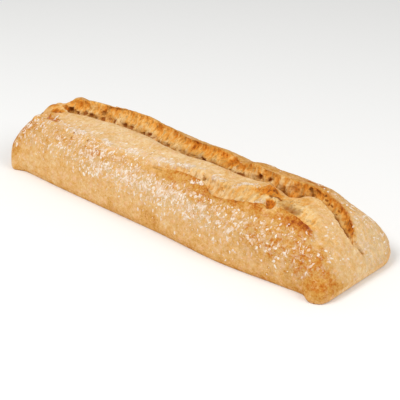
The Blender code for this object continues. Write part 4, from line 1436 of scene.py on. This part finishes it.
class NodePainter:
    """Adds shader nodes to a material and joins them."""

    def __init__(self, name: str) -> None:
        """Starts a material.

        Args:
            name: The material's name.
        """
        self.material = bpy.data.materials.new(name)
        self.material.use_nodes = True
        self.tree = self.material.node_tree
        self.shader = self.tree.nodes["Principled BSDF"]
        self.place = self.tree.nodes.new("ShaderNodeTexCoord").outputs["Object"]

    def join(self, source: object, socket: bpy.types.NodeSocket) -> None:
        """Gives a socket its value.

        Args:
            source: Another node's output, or a plain number or colour.
            socket: The input that takes it.
        """
        if isinstance(source, bpy.types.NodeSocket):
            self.tree.links.new(source, socket)
        elif isinstance(source, (int, float)):
            socket.default_value = source
        else:
            socket.default_value = tuple(source) + (1.0,) * (4 - len(source))

    def value(self, name: str) -> bpy.types.NodeSocket:
        """A value kept on the mesh's points.

        Args:
            name: Its name there.

        Returns:
            The node's output.
        """
        node = self.tree.nodes.new("ShaderNodeAttribute")
        node.attribute_name = name
        return node.outputs["Fac"]

    def math(self, operation: str, first: object, second: object) -> bpy.types.NodeSocket:
        """The result of a sum on two numbers.

        Args:
            operation: Blender's name for the sum.
            first: The first number, or an output.
            second: The second.

        Returns:
            The node's output.
        """
        node = self.tree.nodes.new("ShaderNodeMath")
        node.operation = operation
        self.join(first, node.inputs[0])
        self.join(second, node.inputs[1])
        return node.outputs[0]

    def uneven(self, source: object, *swings: tuple[object, float]) -> bpy.types.NodeSocket:
        """A value made uneven by clouds.

        Args:
            source: The value.
            swings: Each cloud's value with its amount, of which it adds up to half and takes off as much.

        Returns:
            The node's output.
        """
        for cloud_value, amount in swings:
            swing = self.math("MULTIPLY", self.math("SUBTRACT", cloud_value, 0.5), amount)
            source = self.math("ADD", source, swing)
        return source

    def noise(self, cloud: Cloud) -> bpy.types.NodeSocket:
        """A cloud's value.

        Args:
            cloud: The cloud.

        Returns:
            The node's output, which lies round 0.5.
        """
        mapping = self.tree.nodes.new("ShaderNodeMapping")
        self.tree.links.new(self.place, mapping.inputs["Vector"])
        mapping.inputs["Scale"].default_value = [1.0 / (cloud.length * way) for way in cloud.stretch]
        node = self.tree.nodes.new("ShaderNodeTexNoise")
        node.inputs["Scale"].default_value = 1.0
        node.inputs["Detail"].default_value = cloud.detail
        node.inputs["Roughness"].default_value = cloud.rough
        self.tree.links.new(mapping.outputs[0], node.inputs["Vector"])
        return node.outputs["Fac"]

    def scattered(self, gap: float) -> bpy.types.NodeSocket:
        """The distance to the nearest of scattered spots.

        Args:
            gap: How far apart the spots are.

        Returns:
            The node's output, in gaps.
        """
        node = self.tree.nodes.new("ShaderNodeTexVoronoi")
        node.inputs["Scale"].default_value = 1.0 / gap
        self.tree.links.new(self.place, node.inputs["Vector"])
        return node.outputs["Distance"]

    def step(self, source: object, step: Step) -> bpy.types.NodeSocket:
        """The value of a smooth step.

        Args:
            source: The value that rises.
            step: The step.

        Returns:
            The node's output.
        """
        node = self.tree.nodes.new("ShaderNodeMapRange")
        node.interpolation_type = "SMOOTHSTEP"
        self.join(source, node.inputs["Value"])
        node.inputs["From Min"].default_value = step.low
        node.inputs["From Max"].default_value = step.high
        node.inputs["To Min"].default_value = step.start
        node.inputs["To Max"].default_value = step.end
        return node.outputs[0]

    def patches(self, cloud: Cloud, step: Step) -> bpy.types.NodeSocket:
        """Patches with soft edges: a step taken over a cloud."""
        return self.step(self.noise(cloud), step)

    def product(self, *factors: object) -> bpy.types.NodeSocket:
        """Values multiplied by each other.

        Args:
            factors: The values, in order.

        Returns:
            The last node's output.
        """
        total = factors[0]
        for factor in factors[1:]:
            total = self.math("MULTIPLY", total, factor)
        return total

    def ramp(self, source: object, stops: Sequence[tuple[float, Colour]]) -> bpy.types.NodeSocket:
        """A colour that changes with the source.

        Args:
            source: The value that picks the colour.
            stops: The colours, with where each stands.

        Returns:
            The node's colour.
        """
        node = self.tree.nodes.new("ShaderNodeValToRGB")
        self.join(source, node.inputs["Fac"])
        elements = node.color_ramp.elements
        while len(elements) < len(stops):
            elements.new(0.5)
        for element, (where, colour) in zip(elements, stops):
            element.position = where
            element.color = (*colour, 1.0)
        return node.outputs["Color"]

    def mix(self, share: object, first: object, second: object) -> bpy.types.NodeSocket:
        """Two colours mixed.

        Args:
            share: How much of the second shows.
            first: The first colour.
            second: The second colour.

        Returns:
            The node's colour.
        """
        node = self.tree.nodes.new("ShaderNodeMix")
        node.data_type = "RGBA"
        for socket, given in ((MIX_SHARE, share), (MIX_FIRST, first), (MIX_SECOND, second)):
            self.join(given, node.inputs[socket])
        return node.outputs[MIX_RESULT]

    def emboss(self, *reliefs: tuple[object, Bump]) -> None:
        """Gives the shading its fine relief.

        Args:
            reliefs: Each value that is the relief's height with its bump, laid over the ones before it.
        """
        under = None
        for value, bump in reliefs:
            node = self.tree.nodes.new("ShaderNodeBump")
            node.inputs["Distance"].default_value = bump.height
            node.inputs["Strength"].default_value = bump.strength
            self.join(value, node.inputs["Height"])
            if under is not None:
                self.tree.links.new(under, node.inputs["Normal"])
            under = node.outputs[0]
        self.tree.links.new(under, self.shader.inputs["Normal"])


def tint(red: int, green: int, blue: int) -> Colour:
    """A colour as light, by the power part of the screen's curve, which holds for all but near-black.

    Args:
        red: Its red as a screen shows it, from 0 to 255.
        green: Its green.
        blue: Its blue.

    Returns:
        The colour, from 0 to 1.
    """
    shares = (value / SCREEN_WHITE for value in (red, green, blue))
    return tuple(((share + CURVE_SHIFT) / (1.0 + CURVE_SHIFT)) ** CURVE_POWER for share in shares)


@dataclass(frozen=True)
class CrustFinish:
    """The finish of the baked skin, from pale dough to toasted edges, with its dust of flour.

    A name that ends in swing says how much a cloud changes a value, one in cloud how the patches of a
    colour are spread, and one in step where something sets in and how strongly it shows.
    """

    crust_stops: tuple[tuple[float, Colour], ...] = (
        (0.00, tint(240, 208, 160)), (0.22, tint(231, 187, 126)), (0.40, tint(224, 168, 94)),
        (0.58, tint(206, 147, 64)), (0.78, tint(196, 114, 28)), (1.00, tint(150, 66, 12)))
    crumb_stops: tuple[tuple[float, Colour], ...] = (
        (0.00, tint(242, 210, 158)), (0.25, tint(236, 190, 120)), (0.48, tint(232, 164, 72)),
        (0.75, tint(214, 126, 26)), (1.00, tint(138, 68, 14)))
    mottle: Cloud = Cloud(0.0038)
    speck: Cloud = Cloud(0.0013)
    broad: Cloud = Cloud(0.0170, 4.0, 0.55)
    broad_swing: float = 0.62
    mottle_swing: float = 0.90
    speck_swing: float = 0.84
    torn_mottle_swing: float = 0.60
    torn_speck_swing: float = 0.24
    streaks: Cloud = Cloud(0.0017, stretch=(1.0, 3.5, 3.5))
    streak_swing: float = 0.90
    untoasted: Step = Step(0.50, 0.74, 1.0, 0.08)
    rosy: Colour = tint(238, 186, 148)
    rosy_cloud: Cloud = Cloud(0.0056, 5.0, 0.70)
    rosy_step: Step = Step(0.50, 0.66, 0.0, 0.50)
    golden: Colour = tint(210, 158, 76)
    golden_cloud: Cloud = Cloud(0.0047, 5.0, 0.70)
    golden_step: Step = Step(0.50, 0.66, 0.0, 0.55)
    dusty: Colour = tint(202, 174, 128)
    dusty_cloud: Cloud = Cloud(0.0050, 4.0)
    dusty_step: Step = Step(0.38, 0.60, 0.0, 0.78)
    # Painted shade: the olive colour of the torn crumb's crevices and of places that lie a little deep.
    crevice_shade: Colour = tint(172, 126, 62)
    crevice_shade_cloud: Cloud = Cloud(0.0023, stretch=(1.0, 2.6, 2.6))
    crevice_shade_step: Step = Step(0.48, 0.30, 0.0, 0.62)
    torn_step: Step = Step(0.25, 0.65)
    # Painted shade in the pores of the torn crumb.
    pore_shade: Colour = tint(158, 88, 26)
    pore_gap: float = 0.0027
    pore_spot: Step = Step(0.16, 0.34, 1.0, 0.0)
    pore_cloud: Cloud = Cloud(0.0070, 3.0, 0.55)
    pore_cloud_step: Step = Step(0.42, 0.60)
    pore_torn_step: Step = Step(0.35, 0.80, 0.0, 0.60)
    # Painted shade deep in pockets and clefts, and how it sets in over the depth tone.
    pocket: Colour = tint(152, 82, 10)
    painted_shade_swing: float = 0.5
    deep_shade_step: Step = Step(0.38, 0.86)
    painted_shade_step: Step = Step(0.08, 0.84, 0.0, 0.92)
    dust: Colour = tint(238, 212, 190)
    dust_cloud: Cloud = Cloud(0.0034, 5.0, 0.70)
    dust_step: Step = Step(0.51, 0.61, 0.0, 0.72)
    flour: Colour = tint(234, 220, 198)
    flour_swing: float = 3.0
    flour_step: Step = Step(1.00, 1.26, 0.0, 0.82)
    roughness: Step = Step(0.0, 1.0, 0.72, 0.92)
    specular: float = 0.16
    mottle_bump: Bump = Bump(0.0016, 0.70)
    speck_bump: Bump = Bump(0.0008, 0.70)
    dust_bump: Bump = Bump(0.0005, 0.60)
    strand_bump: Bump = Bump(0.0009, 0.70)

    def material(self) -> bpy.types.Material:
        """Paints the finish.

        Returns:
            The finish as a material.
        """
        paint = NodePainter("baked_crust")
        # The depth value is painted shade for lying deep.
        crumb, toast, flour, depth = (paint.value(tone.value) for tone in Tone)
        mottle, speck = paint.noise(self.mottle), paint.noise(self.speck)

        browning = paint.uneven(
            toast, (paint.noise(self.broad), self.broad_swing), (mottle, self.mottle_swing),
            (speck, self.speck_swing))
        pale = paint.step(browning, self.untoasted)
        colour = paint.ramp(browning, self.crust_stops)
        rosy = paint.patches(self.rosy_cloud, self.rosy_step)
        colour = paint.mix(paint.product(rosy, pale), colour, self.rosy)
        golden = paint.patches(self.golden_cloud, self.golden_step)
        colour = paint.mix(paint.product(golden, pale), colour, self.golden)
        dusty = paint.patches(self.dusty_cloud, self.dusty_step)
        colour = paint.mix(paint.product(flour, dusty, pale), colour, self.dusty)

        torn_browning = paint.uneven(
            toast, (mottle, self.torn_mottle_swing), (speck, self.torn_speck_swing),
            (paint.noise(self.streaks), self.streak_swing))
        # Painted shade in the crevices of the torn crumb.
        crevices = paint.patches(self.crevice_shade_cloud, self.crevice_shade_step)
        crumb_colour = paint.mix(crevices, paint.ramp(torn_browning, self.crumb_stops), self.crevice_shade)
        colour = paint.mix(paint.step(crumb, self.torn_step), colour, crumb_colour)

        # Painted shade in the pores of the torn crumb, which are dents in the relief as well.
        pores = paint.product(
            paint.step(paint.scattered(self.pore_gap), self.pore_spot),
            paint.patches(self.pore_cloud, self.pore_cloud_step), paint.step(crumb, self.pore_torn_step))
        colour = paint.mix(pores, colour, self.pore_shade)
        # Painted shade of deep places: olive where they lie a little deep, brown in pockets and clefts.
        painted_sunk_shade = paint.uneven(depth, (mottle, self.painted_shade_swing))
        shade = paint.mix(paint.step(painted_sunk_shade, self.deep_shade_step), self.crevice_shade, self.pocket)
        colour = paint.mix(paint.step(painted_sunk_shade, self.painted_shade_step), colour, shade)

        dust = paint.product(flour, paint.patches(self.dust_cloud, self.dust_step))
        colour = paint.mix(dust, colour, self.dust)
        thick = paint.step(paint.uneven(flour, (speck, self.flour_swing)), self.flour_step)
        colour = paint.mix(thick, colour, self.flour)

        strands = paint.product(paint.math("SUBTRACT", 1.0, crevices), crumb)
        paint.join(colour, paint.shader.inputs["Base Color"])
        paint.join(paint.step(flour, self.roughness), paint.shader.inputs["Roughness"])
        paint.shader.inputs["Specular IOR Level"].default_value = self.specular
        paint.emboss(
            (mottle, self.mottle_bump), (speck, self.speck_bump),
            (paint.math("SUBTRACT", dust, pores), self.dust_bump), (strands, self.strand_bump))
        return paint.material


@dataclass(frozen=True)
class FlourFinish:
    """The finish of the flecks: dry flour, from clean white to a pinkish cream."""

    stops: tuple[tuple[float, Colour], ...] = (
        (0.0, tint(240, 228, 210)), (0.35, tint(234, 214, 194)), (0.70, tint(228, 198, 170)),
        (1.0, tint(226, 188, 146)))
    grains: Cloud = Cloud(0.0008, 2.0, 0.60)
    grain_swing: float = 0.5
    grain_bump: Bump = Bump(0.0004, 0.30)
    roughness: float = 0.95
    specular: float = 0.15

    def material(self) -> bpy.types.Material:
        """Paints the finish.

        Returns:
            The finish as a material.
        """
        paint = NodePainter("dry_flour")
        grains = paint.noise(self.grains)
        shade = paint.uneven(paint.value(FLECK_TINT), (grains, self.grain_swing))
        paint.join(paint.ramp(shade, self.stops), paint.shader.inputs["Base Color"])
        paint.shader.inputs["Roughness"].default_value = self.roughness
        paint.shader.inputs["Specular IOR Level"].default_value = self.specular
        paint.emboss((grains, self.grain_bump))
        return paint.material


@dataclass(frozen=True)
class SoftLight:
    """A large lamp.

    Attributes:
        name: Its name.
        azimuth: The side of the loaf that it lights, in degrees, as the camera's is given.
        elevation: How high it stands, in degrees.
        distance: How far off it is.
        size: How wide it is.
        power: Its power in watts.
    """

    name: str
    azimuth: float
    elevation: float
    distance: float
    size: float
    power: float

    def build(self) -> None:
        """Puts the lamp up, turned towards the loaf."""
        lamp = bpy.data.lights.new(self.name, "AREA")
        lamp.shape = "DISK"
        lamp.size = self.size
        lamp.energy = self.power
        stand = bpy.data.objects.new(self.name, lamp)
        way = direction(self.azimuth, self.elevation)
        stand.location = way * self.distance
        stand.rotation_euler = way.to_track_quat("Z", "Y").to_euler()
        bpy.context.scene.collection.objects.link(stand)


def direction(azimuth: float, elevation: float) -> Vector:
    """The way from the loaf to something that looks at it.

    Args:
        azimuth: Degrees round from the front, where it looks along +Y, to the right.
        elevation: Degrees above the horizon.

    Returns:
        The way, one metre long.
    """
    round_by, up_by = math.radians(azimuth), math.radians(elevation)
    return Vector((
        math.sin(round_by) * math.cos(up_by), -math.cos(round_by) * math.cos(up_by), math.sin(up_by)))


@dataclass(frozen=True)
class Studio:
    """The floor, the light and the camera.

    The camera's angles are in degrees, and its lens and film in millimetres.
    """

    floor_width: float = 12.0
    floor_colour: Colour = (0.93, 0.93, 0.92)
    floor_roughness: float = 0.9
    sky_colour: Colour = (1.0, 0.995, 0.985)
    sky_strength: float = 0.52
    target: Place = (0.02704, -0.00972, 0.0200)
    azimuth: float = 42.9
    elevation: float = 26.0
    distance: float = 0.8307
    lens: float = 90.0
    film_width: float = 36.0
    lights: tuple[SoftLight, ...] = (
        SoftLight("key_light", -15.0, 55.0, 1.6, 0.7, 12.4),
        SoftLight("side_light", 95.0, 40.0, 1.8, 1.0, 10.0))

    def build(self) -> None:
        """Lays the floor, lights the room and sets the camera up."""
        self._floor()
        self._sky()
        for light in self.lights:
            light.build()
        self._camera()
        bpy.context.scene.view_settings.view_transform = "Standard"

    def _floor(self) -> None:
        """Lays a plain pale floor under the loaf."""
        half = self.floor_width / 2.0
        mesh = bpy.data.meshes.new("floor")
        corners = ((-half, -half, 0.0), (half, -half, 0.0), (half, half, 0.0), (-half, half, 0.0))
        mesh.from_pydata(corners, [], [(0, 1, 2, 3)])
        paint = NodePainter("pale_floor")
        paint.join(self.floor_colour, paint.shader.inputs["Base Color"])
        paint.shader.inputs["Roughness"].default_value = self.floor_roughness
        mesh.materials.append(paint.material)
        floor = bpy.data.objects.new("floor", mesh)
        bpy.context.scene.collection.objects.link(floor)

    def _sky(self) -> None:
        """Fills the room with even light."""
        world = bpy.data.worlds.new("studio")
        world.use_nodes = True
        background = world.node_tree.nodes["Background"]
        background.inputs["Color"].default_value = (*self.sky_colour, 1.0)
        background.inputs["Strength"].default_value = self.sky_strength
        bpy.context.scene.world = world

    def _camera(self) -> None:
        """Stands the camera where the photograph was taken from."""
        camera = bpy.data.cameras.new("camera")
        camera.lens = self.lens
        camera.sensor_width = self.film_width
        stand = bpy.data.objects.new("camera", camera)
        way = direction(self.azimuth, self.elevation)
        stand.location = Vector(self.target) + way * self.distance
        stand.rotation_euler = way.to_track_quat("Z", "Y").to_euler()
        bpy.context.scene.collection.objects.link(stand)
        bpy.context.scene.camera = stand


def report(piece: bpy.types.Object) -> None:
    """Logs a piece's name and how many faces it has."""
    LOG.info("%s: %d faces", piece.name, len(piece.data.polygons))


def main() -> None:
    """Builds the loaf, its flour and the studio, and logs how many faces the skin and the flecks have."""
    logging.basicConfig(level=logging.INFO)
    skin = Skin(LoafForm(), LoafDetail())
    report(skin.build(CrustFinish()))
    report(FlourFlecks().build(skin, FlourFinish()))
    Studio().build()


if __name__ == "__main__":
    main()
